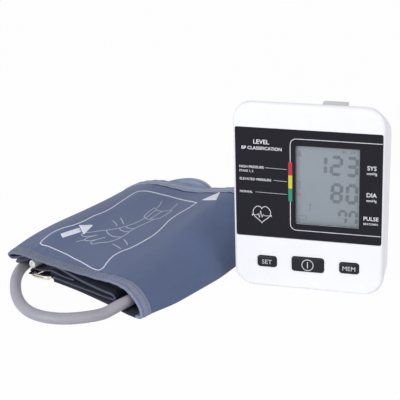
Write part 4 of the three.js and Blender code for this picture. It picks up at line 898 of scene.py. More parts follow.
def ribbed_tape(name, colour, sizes, rim=None, light_fade=None):
    """Grosgrain binding on the UV map: ribs across the tape as a sine of the way along it, fine threads as a
    sine of the way across, and a darker line in each row of stitches. A rim colour, painted light on the
    folded edge of a binding darkened as painted shade, lies over that edge alone. A light fade, painted
    light, gives two distances along the tape and the share of the colour at each."""
    finish = Finish(name, colour, 0.68, Sheen_Weight=0.12, Sheen_Roughness=0.4, Specular_IOR_Level=0.3)
    ribs = finish.bands(0.8 * MM, "X", 0.2)
    threads = finish.bands(0.45 * MM, "Y", 0.3)
    varied = finish.shade(finish.noise(5 * MM, 4.0), 0.09)
    away = finish.away(finish.part(finish.uv(), "Y"), tape_length(sizes))
    level = finish.between(ribs, 0.0, 1.0, 0.88, 1.08)
    if light_fade:
        level = finish.math("MULTIPLY", level, finish.between(finish.part(finish.uv(), "X"), *light_fade))
    for row in STITCH_ROWS:
        near = finish.away(away, row * MM - sizes.tape / 2 + math.pi * sizes.tape / 4)
        level = finish.math("MULTIPLY", level, finish.between(near, 0.25 * MM, 0.6 * MM, 0.72, 1.0))
    shown = finish.scaled(varied, level)
    if rim:
        shown = finish.mix(finish.between(away, 0.6 * MM, 1.0 * MM, 1.0, 0.0), shown, (*rim, 1))
    finish.join(shown, "Base Color")
    finish.bump(ribs, 0.10 * MM)
    finish.bump(threads, 0.04 * MM)
    return finish.material


def hose_skin(name, colour):
    """Extruded rubber: drawn lines along the hose, a dusty bloom and small scuffs."""
    finish = Finish(name, colour, 0.42, Specular_IOR_Level=0.45)
    lines = finish.noise(6 * MM, 3.0, finish.uv((1, 24, 1)))
    finish.shade(finish.noise(12 * MM, 4.0), 0.05)
    finish.rough(lines, 0.36, 0.54)
    finish.bump(lines, 0.02 * MM)
    return finish.material


def circuit(name):
    """Circuit board: solder mask with lighter tracks along cell borders and small plated holes."""
    finish = Finish(name, (0.012, 0.12, 0.045), 0.35)
    cells = finish.add("ShaderNodeTexVoronoi", {"Vector": finish.place, "Scale": 260.0}, distance="MANHATTAN",
                       feature="F1")
    rings = finish.add("ShaderNodeTexVoronoi", {"Vector": finish.place, "Scale": 190.0, "Randomness": 0.6})
    track = finish.between(cells.outputs["Distance"], 0.42, 0.5, 0.0, 1.0)
    hole = finish.between(rings.outputs["Distance"], 0.1, 0.14, 1.0, 0.0)
    green = finish.mix(track, finish.colour, (0.03, 0.24, 0.09, 1))
    finish.join(finish.mix(hole, green, (0.62, 0.5, 0.3, 1)), "Base Color")
    finish.bump(track, 0.03 * MM)
    return finish.material


def cell_sleeve(name, node, upward):
    """Sleeve of a dry cell: dark body, a warm band at the plus end and bare steel at the ends, by the place
    along the slanted back."""
    finish = Finish(name, (0.02, 0.021, 0.024), 0.3)
    along = finish.part(finish.mapped(rotation=(BACK_SLANT, 0, 0)), "Z")
    low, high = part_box(node)
    middle, half = (low[2] + high[2]) / 2, 29 * MM
    share = finish.between(along, middle - half, middle + half, *((0.0, 1.0) if upward else (1.0, 0.0)))
    band = finish.math("GREATER_THAN", share, 0.68)
    bare = finish.math("GREATER_THAN", share, 0.93)
    colour = finish.mix(band, finish.colour, (0.62, 0.33, 0.11, 1))
    finish.join(finish.mix(bare, colour, (0.7, 0.7, 0.72, 1)), "Base Color")
    finish.rough(finish.noise(4 * MM, 3.0), 0.22, 0.36)
    finish.bump(finish.noise(9 * MM, 2.0), 0.02 * MM)
    return finish.material


def dressed(obj, *materials):
    """Gives an object its materials, in place of any it had."""
    obj.data.materials.clear()
    for material in materials:
        obj.data.materials.append(material)
    return obj


def piece(name, shape, body, slot, *materials, nodes=(), **more):
    """A finished piece from its points and faces, dressed in the materials given: it rides on a body, and
    stands for the nodes it replaces. The slot is not used."""
    obj = dressed(put(name, *shape, **more), *materials)
    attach(obj, body)
    if nodes:
        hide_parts(*nodes)
    return obj


def smooth_group():
    """Nodes that shade faces smooth except across edges sharper than about 32 degrees."""
    group = bpy.data.node_groups.get("smooth_by_angle")
    if group:
        return group
    group = bpy.data.node_groups.new("smooth_by_angle", "GeometryNodeTree")
    group.interface.new_socket("Geometry", in_out="INPUT", socket_type="NodeSocketGeometry")
    group.interface.new_socket("Geometry", in_out="OUTPUT", socket_type="NodeSocketGeometry")
    source = group.nodes.new("NodeGroupInput")
    target = group.nodes.new("NodeGroupOutput")
    faces = group.nodes.new("GeometryNodeSetShadeSmooth")
    edges = group.nodes.new("GeometryNodeSetShadeSmooth")
    edges.domain = "EDGE"
    angle = group.nodes.new("GeometryNodeInputMeshEdgeAngle")
    below = group.nodes.new("FunctionNodeCompare")
    below.operation = "LESS_THAN"
    below.inputs[1].default_value = SMOOTH_BELOW
    group.links.new(source.outputs[0], faces.inputs["Geometry"])
    group.links.new(faces.outputs["Geometry"], edges.inputs["Geometry"])
    group.links.new(angle.outputs["Unsigned Angle"], below.inputs[0])
    group.links.new(below.outputs[0], edges.inputs["Shade Smooth"])
    group.links.new(edges.outputs["Geometry"], target.inputs[0])
    return group


def rounded(obj):
    """Shades a piece smooth by angle, with weighted normals."""
    obj.modifiers.new("Smooth by angle", "NODES").node_group = smooth_group()
    obj.modifiers.new("Weighted normals", "WEIGHTED_NORMAL").keep_sharp = True
    return obj


def soften(obj, width, segments=2):
    """Welds a CAD node, rounds its sharp edges and shades it smooth between them."""
    obj.modifiers.new("Weld", "WELD").merge_threshold = 1e-6
    if width:
        bevel = obj.modifiers.new("Rounded edges", "BEVEL")
        bevel.width = width
        bevel.segments = segments
        bevel.limit_method = "ANGLE"
        bevel.angle_limit = BEVEL_ABOVE
        bevel.use_clamp_overlap = True
    return rounded(obj)


def text_part(words, size, x, z, y, thick, bold, align="CENTER"):
    """Points and faces of standing lettering in mm: the text lies in x and z, and looks to the front."""
    curve = bpy.data.curves.new("lettering", "FONT")
    curve.body = words
    curve.size = size
    curve.align_x = align
    curve.extrude = thick
    curve.offset = bold
    curve.resolution_u = 3
    obj = bpy.data.objects.new("lettering", curve)
    bpy.context.scene.collection.objects.link(obj)
    mesh = bpy.data.meshes.new_from_object(obj.evaluated_get(bpy.context.evaluated_depsgraph_get()))
    points = vertex_places(mesh.vertices, "co")
    faces = [list(p.vertices) for p in mesh.polygons]
    bpy.data.objects.remove(obj)
    bpy.data.curves.remove(curve)
    bpy.data.meshes.remove(mesh)
    return np.stack([points[:, 0] + x, y - points[:, 2], points[:, 1] + z], -1), faces


def vertex_places(items, name):
    """A place that each vertex or face of a mesh holds, as rows of three."""
    places = np.empty(len(items) * 3)
    items.foreach_get(name, places)
    return places.reshape(-1, 3)


def standing(flat, depths):
    """Points and faces of a flat outline in x and z, made thick between two depths, in mm."""
    return rings_solid([np.column_stack([flat[:, 0], np.full(len(flat), y), flat[:, 1]]) for y in depths])


def bar(a, b, width, depths):
    """Straight line of print with square ends."""
    a, b = np.array(a, float), np.array(b, float)
    way = unit(b - a)
    side = np.array([-way[1], way[0]]) * width / 2
    return standing(np.array([a - side, b - side, b + side, a + side]), depths)


def outward(line, closed=False):
    """Direction square to a flat line at each of its places: its way turned by a quarter to the right."""
    way = way_along(line, closed)
    return np.stack([way[:, 1], -way[:, 0]], -1)


def line_print(places, width, depths, closed=False):
    """A printed line along places in x and z: its sides lie half its width square to its way."""
    side = outward(places, closed) * width / 2
    left, right = places - side, places + side
    front, back = depths
    corners = [(left, front), (right, front), (right, back), (left, back)]
    rings = np.stack([np.column_stack([flat[:, 0], np.full(len(flat), y), flat[:, 1]])
                      for flat, y in corners], axis=1)
    return rings_solid(rings, capped=not closed)


def place_and_size(low, high):
    """Middle and size of a box, first along x and then along z, in mm."""
    return [((low[k] + high[k]) / 2 / MM, (high[k] - low[k]) / MM) for k in (0, 2)]


def set_place(obj, side, above, back, place):
    """Puts a camera or a lamp by its three axes and its place."""
    obj.matrix_world = Matrix([*np.column_stack([side, above, back, place]).tolist(), [0, 0, 0, 1]])


def settings(context):
    """The four groups of settings, from the scene."""
    scene = context.scene
    return scene.bp_monitor_sizes, scene.bp_cuff_sizes, scene.bp_finishes, scene.bp_studio


class PieceOperator(bpy.types.Operator):
    """One piece, or one group of like pieces, of the monitor."""
    bl_options = {"REGISTER", "UNDO"}


# Camera and hose first

class MONITOR_OT_camera(PieceOperator):
    """Camera at the photograph's angle"""
    bl_idname = "monitor.camera"
    bl_label = "Camera"

    def execute(self, context):
        studio = settings(context)[3]
        cos_p, sin_p = math.cos(studio.pitch), math.sin(studio.pitch)
        forward = np.array([-math.sin(studio.azimuth) * cos_p, math.cos(studio.azimuth) * cos_p, -sin_p])
        right = unit(np.cross(forward, (0, 0, 1.0)))
        up = np.cross(right, forward)
        cos_r, sin_r = math.cos(studio.roll), math.sin(studio.roll)
        across, above = right * cos_r - up * sin_r, up * cos_r + right * sin_r
        place = np.array(studio.target) - forward * studio.distance
        data = bpy.data.cameras.new("camera")
        data.lens = studio.lens
        data.sensor_width = SENSOR_WIDTH
        data.clip_end = 50.0
        camera = bpy.data.objects.new("camera", data)
        context.scene.collection.objects.link(camera)
        set_place(camera, across, above, -forward, place)
        context.scene.camera = camera
        return {"FINISHED"}


class MONITOR_OT_air_hose(PieceOperator):
    """Air hose with its plug, from the port inside the roll round to the near end"""
    bl_idname = "monitor.air_hose"
    bl_label = "Air hose and plug"

    def execute(self, context):
        sizes, finishes = settings(context)[1:3]
        path = cuff_point(*bent(HOSE_ROUTE, HOSE_STEPS).T)
        along = arc_length(path)
        even = np.linspace(0, along[-1], HOSE_ROWS)
        path = np.column_stack([np.interp(even, along, path[:, k]) for k in range(3)])
        rings = sweep(path, sizes.hose_diameter / 2, HOSE_SIDES)
        for end in (0, -1):
            middle = rings[end].mean(0)
            rings[end] = middle + (rings[end] - middle) * HOSE_END
        uv = uv_grid(even, np.linspace(0, math.pi * sizes.hose_diameter, HOSE_SIDES, endpoint=False))
        hose = rounded(piece("air_hose_skin", rings_solid(rings), "cuff", "hose_grey",
                             hose_skin("hose_rubber", finishes.hose), nodes=["air_hose"], uv=uv))
        way = cuff_point(0, 1, 0) - cuff_point(0, 0, 0)
        body = lathe(np.array(PLUG_PROFILE) * MM, cuff_point(PLUG_S, PLUG_FROM, PLUG_H), way)
        gloss = moulded("plug_gloss", finishes.plug, 0.28, depth=0.006 * MM)
        plug = rounded(piece("air_plug_body", rings_solid(body), "cuff", "plug_white", gloss,
                             nodes=["air_plug"]))
        port = frame["nodes"]["hose_port"]
        dressed(soften(port, 0.3 * MM), moulded("port_silicone", (0.62, 0.63, 0.6), 0.5, grain=0.8 * MM))
        return {"FINISHED"}


# The cuff

class MONITOR_OT_cuff_cloth(PieceOperator):
    """Rolled band of cloth, outer face and lining"""
    bl_idname = "monitor.cuff_cloth"
    bl_label = "Cuff cloth"

    def execute(self, context):
        sizes, finishes = settings(context)[1:3]
        u, v = band_grid(sizes)
        half = sizes.cloth / MM / 2
        outer, inner = (cloth_surface(u, v, offset, sizes) for offset in (half, -half))
        across = cloth_middle(u, v)[..., 1] * MM
        uv = np.stack(np.broadcast_arrays(way_round(sizes)[:, None], across), -1).reshape(-1, 2)
        cloth = piece("cuff_cloth_band", two_faced(outer, inner), "cuff", "cuff_cloth",
                      woven("cuff_cloth_blue", finishes.cloth), brushed_pile("cuff_lining", finishes.lining),
                      nodes=["cuff_band"], uv=np.concatenate([uv, uv]))
        each = (sizes.along - 1) * (sizes.across - 1)
        index = np.zeros(len(cloth.data.polygons), dtype=np.int32)
        index[each:2 * each] = 1
        cloth.data.polygons.foreach_set("material_index", index)
        return {"FINISHED"}


def tape_section(sizes):
    """Section of the folded tape in mm: distance from the edge and offset from the middle. A half circle
    round the edge, two flat faces with a groove at each row of stitches, and a step down to the cloth."""
    half = sizes.tape / MM / 2
    width = sizes.tape_width / MM
    edge = np.column_stack([half - half * np.cos(BEND), half * np.sin(BEND)])
    d = np.linspace(half, width, 22)[1:]
    first, second = STITCH_ROWS
    groove = GROOVE * sum(np.exp(-((d - row) / GROOVE_WIDE) ** 2) for row in STITCH_ROWS)
    swell = TAPE_SWELL * np.sin(np.pi * (d - first) / (second - first)) ** 2 * (d > first) * (d < second)
    n = half - groove + swell - TAPE_STEP * (d > width - 0.2)
    return np.vstack([np.column_stack([d[::-1], -n[::-1]]), edge, np.column_stack([d, n])])


class MONITOR_OT_bindings(PieceOperator):
    """Folded tape round both edges of the band, with its two rows of stitches on each face"""
    bl_idname = "monitor.bindings"
    bl_label = "Cuff bindings"

    def execute(self, context):
        sizes, finishes = settings(context)[1:3]
        section = tape_section(sizes)
        u = np.linspace(0, 1, sizes.along + 40)[:, None]
        # painted light: the near tape is drawn paler down the roll's side and fades to its own colour between
        # these knots; the far tape is drawn paler all along
        light_fades, light_ends = LIT_KNOTS
        table = np.linspace(0, light_ends, 400)
        edge_way = arc_length(cloth_middle(table / SPANS, 0.0)) * MM
        light_fade = (float(np.interp(light_fades, table, edge_way)), float(edge_way[-1]), LIT_PALE, 1.0)
        tapes = {
            "near": ribbed_tape("binding_ribbed", finishes.tape, sizes, light_fade=light_fade),
            "far": ribbed_tape("binding_far_ribbed", tuple(FAR_LIT_PALE * c for c in finishes.tape), sizes),
        }
        # painted shade: the same tape darkened inside the roll and on the lowest layer; the inner copy keeps
        # a lighter rim, painted light on its folded edge
        inner = ribbed_tape("binding_inner", finishes.shaded_tape, sizes, rim=(0.085, 0.096, 0.145))
        low = ribbed_tape("binding_low", finishes.shaded_tape, sizes)
        thread = ink("binding_thread", (0.29, 0.315, 0.41), 0.7)
        made = []
        for name, tape in tapes.items():
            far = name == "far"
            rings = cloth_surface(u, self.row(u, section[None, :, 0], far), section[None, :, 1], sizes)
            along = arc_length(cloth_middle(u[:, 0], 1.0 if far else 0.0)) * MM
            binding = piece(f"binding_{name}_tape", rings_solid(rings), "cuff", "binding_tape",
                            tape, inner, low, nodes=[f"binding_{name}"],
                            uv=uv_grid(along, arc_length(section) * MM))
            if not far:
                # faces past the outer knots take the darker copies painted as shade: 1 inside the roll, 2 on
                # the lowest layer
                knot = (np.arange(len(u) - 1) + 0.5) / (len(u) - 1) * SPANS
                kind = np.select([knot < OUTER_KNOTS[0], knot > OUTER_KNOTS[1]], [2, 1], 0)
                index = np.concatenate([np.repeat(kind, len(section)), [1, 2]]).astype(np.int32)
                binding.data.polygons.foreach_set("material_index", index)
            rows = [self.stitches(sizes, far, d, side) for d in STITCH_ROWS for side in (1, -1)]
            seam = piece(f"binding_{name}_stitches", join_parts(rows), "cuff", "binding_tape", thread)
            made += [binding, seam]
        made.append(self.inner_corner())
        return {"FINISHED"}

    def row(self, u, away, far):
        """v of a line at a distance from the far or the near edge, in mm. Over the roll's top the near tape
        shows less of its width, as more of it is turned under."""
        if far:
            return 1 - away / CUFF_WIDTH
        return away / CUFF_WIDTH * (1 - NARROW * rise(u * SPANS, *NARROW_KNOTS))

    def inner_corner(self):
        """Corner of the inner turn that hangs before the hose: a sheet between a near line and a back line,
        with a half circle round its near edge."""
        near = bent(CORNER_NEAR, 40)
        rear = np.column_stack([near[:, 0], np.full(len(near), CORNER_DEPTH),
                                np.interp(near[:, 0], *zip(*CORNER_BACK))])
        way = unit(rear - near)
        up = unit(np.cross(np.cross(way, (0, 0, 1.0)), way))
        rings = [near + CORNER_TAPE * (up * math.sin(a) - way * math.cos(a)) for a in BEND]
        rings = [rear - CORNER_CLOTH * up, *rings, rear + CORNER_CLOTH * up]
        across = np.array([13.0, *(4 + CORNER_TAPE * BEND), -6.0]) * MM
        shape = rings_solid(cuff_point(*np.moveaxis(np.stack(rings, axis=1), -1, 0)))
        return piece("cuff_inner_corner", shape, "cuff", "binding_tape",
                     woven("corner_tape", (0.075, 0.088, 0.135)), uv=uv_grid(arc_length(near) * MM, across))

    def stitches(self, sizes, far, d, side):
        """One row of stitches at an even pitch along the band: short spindles, a little flattened, that taper
        to both ends."""
        dense = np.linspace(0.004, 0.996, 3000)
        if not far:
            dense = dense[(dense * SPANS > SEWN_KNOTS[0]) & (dense * SPANS < SEWN_KNOTS[1])]
        along = arc_length(cloth_middle(dense, self.row(dense, d, far)))
        pitch = sizes.stitch_pitch / MM
        centre = np.interp(np.arange(pitch, along[-1] - pitch, pitch), along, dense)
        half = sizes.tape / MM / 2 - 0.02

        def place(u, lift=0.0):
            """Point of the row at each u, on the tape's face or lifted out of it."""
            return cloth_surface(u, self.row(u, d, far), side * (half + lift), sizes)

        middle = place(centre)[:, None, None]
        way = unit(place(centre + 0.0008)[:, None, None] - middle)
        normal = unit(place(centre, 0.5)[:, None, None] - middle)
        across = np.cross(way, normal)
        angle = np.linspace(0, 2 * np.pi, STITCH_SIDES, endpoint=False)[:, None]
        spoke = normal * np.sin(angle) * STITCH_FLAT + across * np.cos(angle)
        ring = middle + way * STITCH_REACH * sizes.stitch / 2 + spoke * STITCH_THICK * sizes.thread
        count, rows, each = ring.shape[:3]
        one = grid_faces(rows, each, columns_closed=True)
        first = (np.arange(count) * rows * each)[:, None, None]
        quads = (one[None] + first).reshape(-1, 4)
        caps = np.stack([np.arange(each)[::-1], (rows - 1) * each + np.arange(each)])
        ends = (caps[None] + first).reshape(-1, each)
        return ring.reshape(-1, 3), quads.tolist() + ends.tolist()


def ribbon(places, width, sizes, closed=False, lift=PRINT_LIFT):
    """A line on the roll's top, printed or a painted shadow: places in s and t, drawn a little proud of the
    outer face.
    """
    side = outward(places, closed) * width / 2
    half = sizes.cloth / MM / 2
    rows = []
    for edge, offset in ((-1, lift), (1, lift), (1, PRINT_ROOT), (-1, PRINT_ROOT)):
        spot = places + edge * side
        rows.append(cloth_surface(*top_place(spot[:, 0], spot[:, 1]), half + offset, sizes))
    return rings_solid(np.stack(rows, axis=1), capped=not closed)


def patch(corners, sizes):
    """A printed patch between four corners in s and t, by blending them both ways over a grid."""
    a, b, c, d = np.array(corners, float)
    share = np.linspace(0, 1, 10)[:, None]
    f, g = share[:, None], share[None]
    spot = (a * (1 - f) + b * f) * (1 - g) + (d * (1 - f) + c * f) * g
    u, v = top_place(spot[..., 0], spot[..., 1])
    half = sizes.cloth / MM / 2
    return two_faced(*(cloth_surface(u, v, half + offset, sizes) for offset in (PRINT_LIFT, PRINT_ROOT)))


class MONITOR_OT_cuff_print(PieceOperator):
    """White print on the cuff, with its frame, arm, arrow and index mark, and a painted shadow line under the
    far binding's edge
    """
    bl_idname = "monitor.cuff_print"
    bl_label = "Cuff print"

    def execute(self, context):
        sizes = settings(context)[1]
        width = sizes.print_line / MM
        white = ink("cuff_print_white", (0.86, 0.89, 0.96), 0.6)
        back = bent((FRAME_START[-1], *FRAME_BACK, FRAME_START[0]), FRAME_STEPS)[1:-1]
        loop = ribbon(np.vstack([bent(FRAME_START, FRAME_STEPS), back]), width, sizes, closed=True)
        patches = join_parts([patch(corners, sizes) for corners in PATCHES])
        # painted shadow: a dark line laid on the cloth under the far binding's edge, where the tape stands
        # proud
        seam = ribbon(bent(FAR_TAPE_SHADOW, SHADOW_STEPS), SHADOW_WIDTH, sizes, lift=SHADOW_LIFT)
        arm = join_parts([ribbon(bent(points, steps), width * ARM_LINE, sizes)
                          for steps, *points in ARM_LINES])
        piece("cuff_print_frame", loop, "cuff", "cuff_cloth", white)
        piece("cuff_print_marks", patches, "cuff", "cuff_cloth", white)
        piece("cuff_far_seam", seam, "cuff", "cuff_cloth", brushed_pile("seam_shadow", (0.03, 0.038, 0.065)))
        piece("cuff_print_arm", arm, "cuff", "cuff_cloth", ink("cuff_print_pale", (0.56, 0.60, 0.70), 0.65))
        return {"FINISHED"}


class MONITOR_OT_free_end(PieceOperator):
    """Corner of the band's free end, which hangs through the ring beside its sleeve"""
    bl_idname = "monitor.free_end"
    bl_label = "Free end"

    def execute(self, context):
        finishes = settings(context)[2]
        path = bent(FREE_LINE, 70)
        out = outward(path)
        near = np.column_stack([FREE_FROM + FREE_HALF - FREE_HALF * np.cos(BEND), FREE_HALF * np.sin(BEND)])
        t = np.linspace(FREE_FROM + 1.0, FREE_TO, 40)
        face = np.column_stack([t, np.full_like(t, FREE_HALF)])
        section = np.vstack([face[::-1] * (1, -1), near, face])
        along = arc_length(path)[:, None]
        t, offset = section.T
        offset = offset + FREE_WAVE * np.sin(t / 3.7 + along / 4.1)
        s = path[:, :1] + out[:, :1] * offset
        h = np.maximum(path[:, 1:] + out[:, 1:] * offset, 0.15)
        uv = np.stack(np.broadcast_arrays(along * MM, t * MM), -1)
        piece("cuff_free_end", rings_solid(cuff_point(s, t + FREE_LEAN * along, h)), "cuff", "cuff_cloth",
              woven("free_end_cloth", (0.028, 0.034, 0.06), spread=0.1), uv=uv)
        lean = FREE_FROM + 0.3 + FREE_LEAN * along[:-1, 0]
        rim = cuff_point(path[:-1, 0], lean, np.maximum(path[:-1, 1], 0.75))
        piece("cuff_free_edge", rings_solid(sweep(rim, FREE_EDGE * MM, 12)), "cuff", "binding_tape",
              ink("free_edge_tape", (0.085, 0.097, 0.15), 0.7))
        strips = []
        for under in FREE_TURNS:
            s, h = bent(under, 24).T
            rows = [cuff_point(s, t, np.maximum(h + side, 0.1)) for t, side in FREE_STRIP]
            strips.append(rings_solid(np.stack(rows, axis=1)))
        piece("cuff_free_turn", join_parts(strips), "cuff", "cuff_cloth",
              brushed_pile("turned_end_lining", finishes.lining))
        return {"FINISHED"}


class MONITOR_OT_ring(PieceOperator):
    """Metal ring, and the cloth sleeve that holds it"""
    bl_idname = "monitor.ring"
    bl_label = "Ring and sleeve"

    def execute(self, context):
        across, along = self.wire_line().T
        path = cuff_point(RING_PIVOT[0] - across * math.cos(RING_TURN), RING_START + along,
                          RING_PIVOT[1] - across * math.sin(RING_TURN))
        piece("ring_wire_loop", rings_solid(sweep(path, RING_WIRE * MM, 18, closed=True), capped=False),
              "ring", "ring_wire", metal("ring_chrome", (0.74, 0.70, 0.60), 0.16, depth=0.002 * MM),
              nodes=["d_ring"])
        way = np.column_stack([np.cos(SLEEVE_TURN), np.sin(SLEEVE_TURN)])
        loop = np.array(RING_PIVOT) + SLEEVE_RADIUS * way
        line = np.vstack([SLEEVE_FOOT, loop, SLEEVE_HEAD])
        out = outward(line) * SLEEVE_HALF
        section = np.vstack([line + out, (line - out)[::-1]])
        t = np.linspace(SLEEVE_FROM, SLEEVE_TO, 116)
        ripple = (1 + 0.02 * np.sin(t / 3.1) + 0.012 * np.sin(t / 1.3 + 1))[:, None]
        s, h = (pivot + (place - pivot) * ripple for pivot, place in zip(RING_PIVOT, section.T))
        piece("ring_sleeve_cloth", rings_solid(cuff_point(s, t[:, None], np.maximum(h, 0.12))),
              "cuff", "cuff_cloth", woven("sleeve_cloth", (0.042, 0.055, 0.095)),
              nodes=["ring_loop"], uv=uv_grid(t * MM, arc_length(section) * MM))
        return {"FINISHED"}

    def wire_line(self):
        """Middle of the wire on the ring's plane: four quarter circles, and straights in steps of 6 mm."""
        low, wide, high = RING_CORNER, RING_SIDE - RING_CORNER, RING_LONG - RING_CORNER
        flat = np.vstack([
            np.column_stack([x + RING_CORNER * np.cos(start * np.pi / 2 + QUARTER),
                             y + RING_CORNER * np.sin(start * np.pi / 2 + QUARTER)])
            for x, y, start in ((low, low, 2), (wide, low, 3), (wide, high, 0), (low, high, 1))])
        dense = []
        for a, b in zip(flat, np.roll(flat, -1, 0)):
            parts = max(1, int(np.linalg.norm(b - a) / 6))
            dense.append(a + (b - a) * np.linspace(0, 1, parts, endpoint=False)[:, None])
        return np.vstack(dense)


# The monitor

class MONITOR_OT_casing(PieceOperator):
    """Front and rear casing, battery cover and latch"""
    bl_idname = "monitor.casing"
    bl_label = "Casing"

    def execute(self, context):
        sizes, _, finishes, _ = settings(context)
        nodes = frame["nodes"]
        white = moulded("casing_white", finishes.casing, 0.38, grain=0.7 * MM, depth=0.010 * MM, spread=0.012,
                        Specular_IOR_Level=0.4)
        for name in ("front_casing", "rear_casing", "battery_cover"):
            dressed(soften(nodes[name], sizes.edge_rounding), white)
        self.darken_opening(nodes["front_casing"])
        tab = moulded("latch_grey", finishes.tab, 0.45, depth=0.02 * MM)
        dressed(soften(nodes["cover_latch"], 0.5 * MM, 3), tab)
        return {"FINISHED"}

    def darken_opening(self, casing):
        """Black paint on the walls of the window's opening, found by the middles of its faces."""
        casing.data.materials.append(moulded("opening_black", (0.012, 0.012, 0.016), 0.6))
        middle = vertex_places(casing.data.polygons, "center")
        slack = 0.5 * MM
        within = ((middle[:, 0] > WINDOW_LOW[0] - slack) & (middle[:, 0] < WINDOW_HIGH[0] + slack)
                  & (middle[:, 2] > WINDOW_LOW[2] - slack) & (middle[:, 2] < WINDOW_HIGH[2] + slack))
        casing.data.polygons.foreach_set("material_index", within.astype(np.int32))


class MONITOR_OT_display(PieceOperator):
    """Black panel, its window, and the screen with its reading"""
    bl_idname = "monitor.display"
    bl_label = "Display"

    def execute(self, context):
        sizes, _, finishes, _ = settings(context)
        (window_x, wide), (window_z, tall) = place_and_size(WINDOW_LOW, WINDOW_HIGH)
        panel_z = place_and_size(PANEL_LOW, PANEL_HIGH)[1][0]
        gap = 2 * sizes.window_gap / MM
        outer = (sizes.panel_width / MM, sizes.panel_height / MM, sizes.panel_corner / MM, 0.0, panel_z)
        hole = (wide + gap, tall + gap, WINDOW_CORNER, window_x, window_z)
        panel = rings_solid(framed_plate(outer, hole, *PANEL_DEPTHS, sizes.rim / MM), capped=False)
        rounded(piece("display_panel_plate", on_face_all([panel]), "monitor", "black_panel",
                      black_gloss("panel_gloss_black", finishes.panel), nodes=["display_panel"]))
        window = rings_solid(plate(wide, tall, WINDOW_CORNER, window_x, window_z, *WINDOW_DEPTHS, WINDOW_RIM))
        rounded(piece("display_window_pane", on_face_all([window]), "monitor", "clear_window",
                      clear_plastic("window_clear"), nodes=["display_window"]))
        (glass_x, wide), (glass_z, tall) = place_and_size(GLASS_LOW, GLASS_HIGH)
        glass = rings_solid(plate(wide, tall, GLASS_CORNER, glass_x, glass_z, *GLASS_DEPTHS, GLASS_RIM))
        rounded(piece("screen_glass_plate", on_face_all([glass]), "monitor", "screen_glass",
                      screen_face("screen_grey", finishes.screen), nodes=["lcd_glass"]))
        self.reading(finishes)
        return {"FINISHED"}

    def segment(self, a, b, width, foot):
        """One segment: a bar whose ends taper to a point, leaning with its height."""
        a, b = np.array(a, float), np.array(b, float)
        way = unit(b - a)
        side = np.array([-way[1], way[0]]) * width / 2
        a, b = a + way * width * SEGMENT_GAP, b - way * width * SEGMENT_GAP
        inset = way * width * SEGMENT_TIP
        flat = np.array([a, a + inset - side, b - inset - side, b, b - inset + side, a + inset + side])
        flat[:, 0] += (flat[:, 1] - foot) * DIGIT_LEAN
        return standing(flat, DIGIT_DEPTHS)

    def digit(self, figure, right, foot, width, height, thick):
        """Segments of one digit, from the letters that name its lit bars."""
        x0, x1 = right - width + thick / 2, right - thick / 2
        z0, z1, z2 = foot + thick / 2, foot + height / 2, foot + height - thick / 2
        bars = {"a": ((x0, z2), (x1, z2)), "b": ((x1, z2), (x1, z1)), "c": ((x1, z1), (x1, z0)),
                "d": ((x0, z0), (x1, z0)), "e": ((x0, z0), (x0, z1)), "f": ((x0, z1), (x0, z2)),
                "g": ((x0, z1), (x1, z1))}
        return [self.segment(*bars[letter], thick, foot) for letter in SEGMENTS[figure]]

    def reading(self, finishes):
        """The three rows of digits and the small marks of the screen."""
        parts = []
        for digits, right, foot, width, height, pitch, thick in READINGS:
            for place, figure in enumerate(reversed(digits)):
                parts += self.digit(figure, right - place * pitch, foot, width, height, thick)
        piece("screen_reading", on_face_all(parts), "monitor", "screen_glass",
              ink("screen_segment", finishes.segment, 0.4), smooth=False)
        for name, z, colour in DOTS:
            dot = standing(circle(DOT_X, z, DOT_RADIUS, 20), MARK_DEPTHS)
            piece(f"screen_mark_{name}", on_face_all([dot]), "monitor", "screen_glass",
                  ink(f"screen_{name}", colour, 0.4), smooth=False)
        faint = [bar(*stroke, MARK_DEPTHS) for stroke in STROKES]
        faint.append(line_print(circle(*MARK_RING, 20), MARK_RING_LINE, MARK_DEPTHS, closed=True))
        piece("screen_marks", on_face_all(faint), "monitor", "screen_glass",
              ink("screen_faint", tuple(0.4 * c for c in finishes.screen), 0.4), smooth=False)


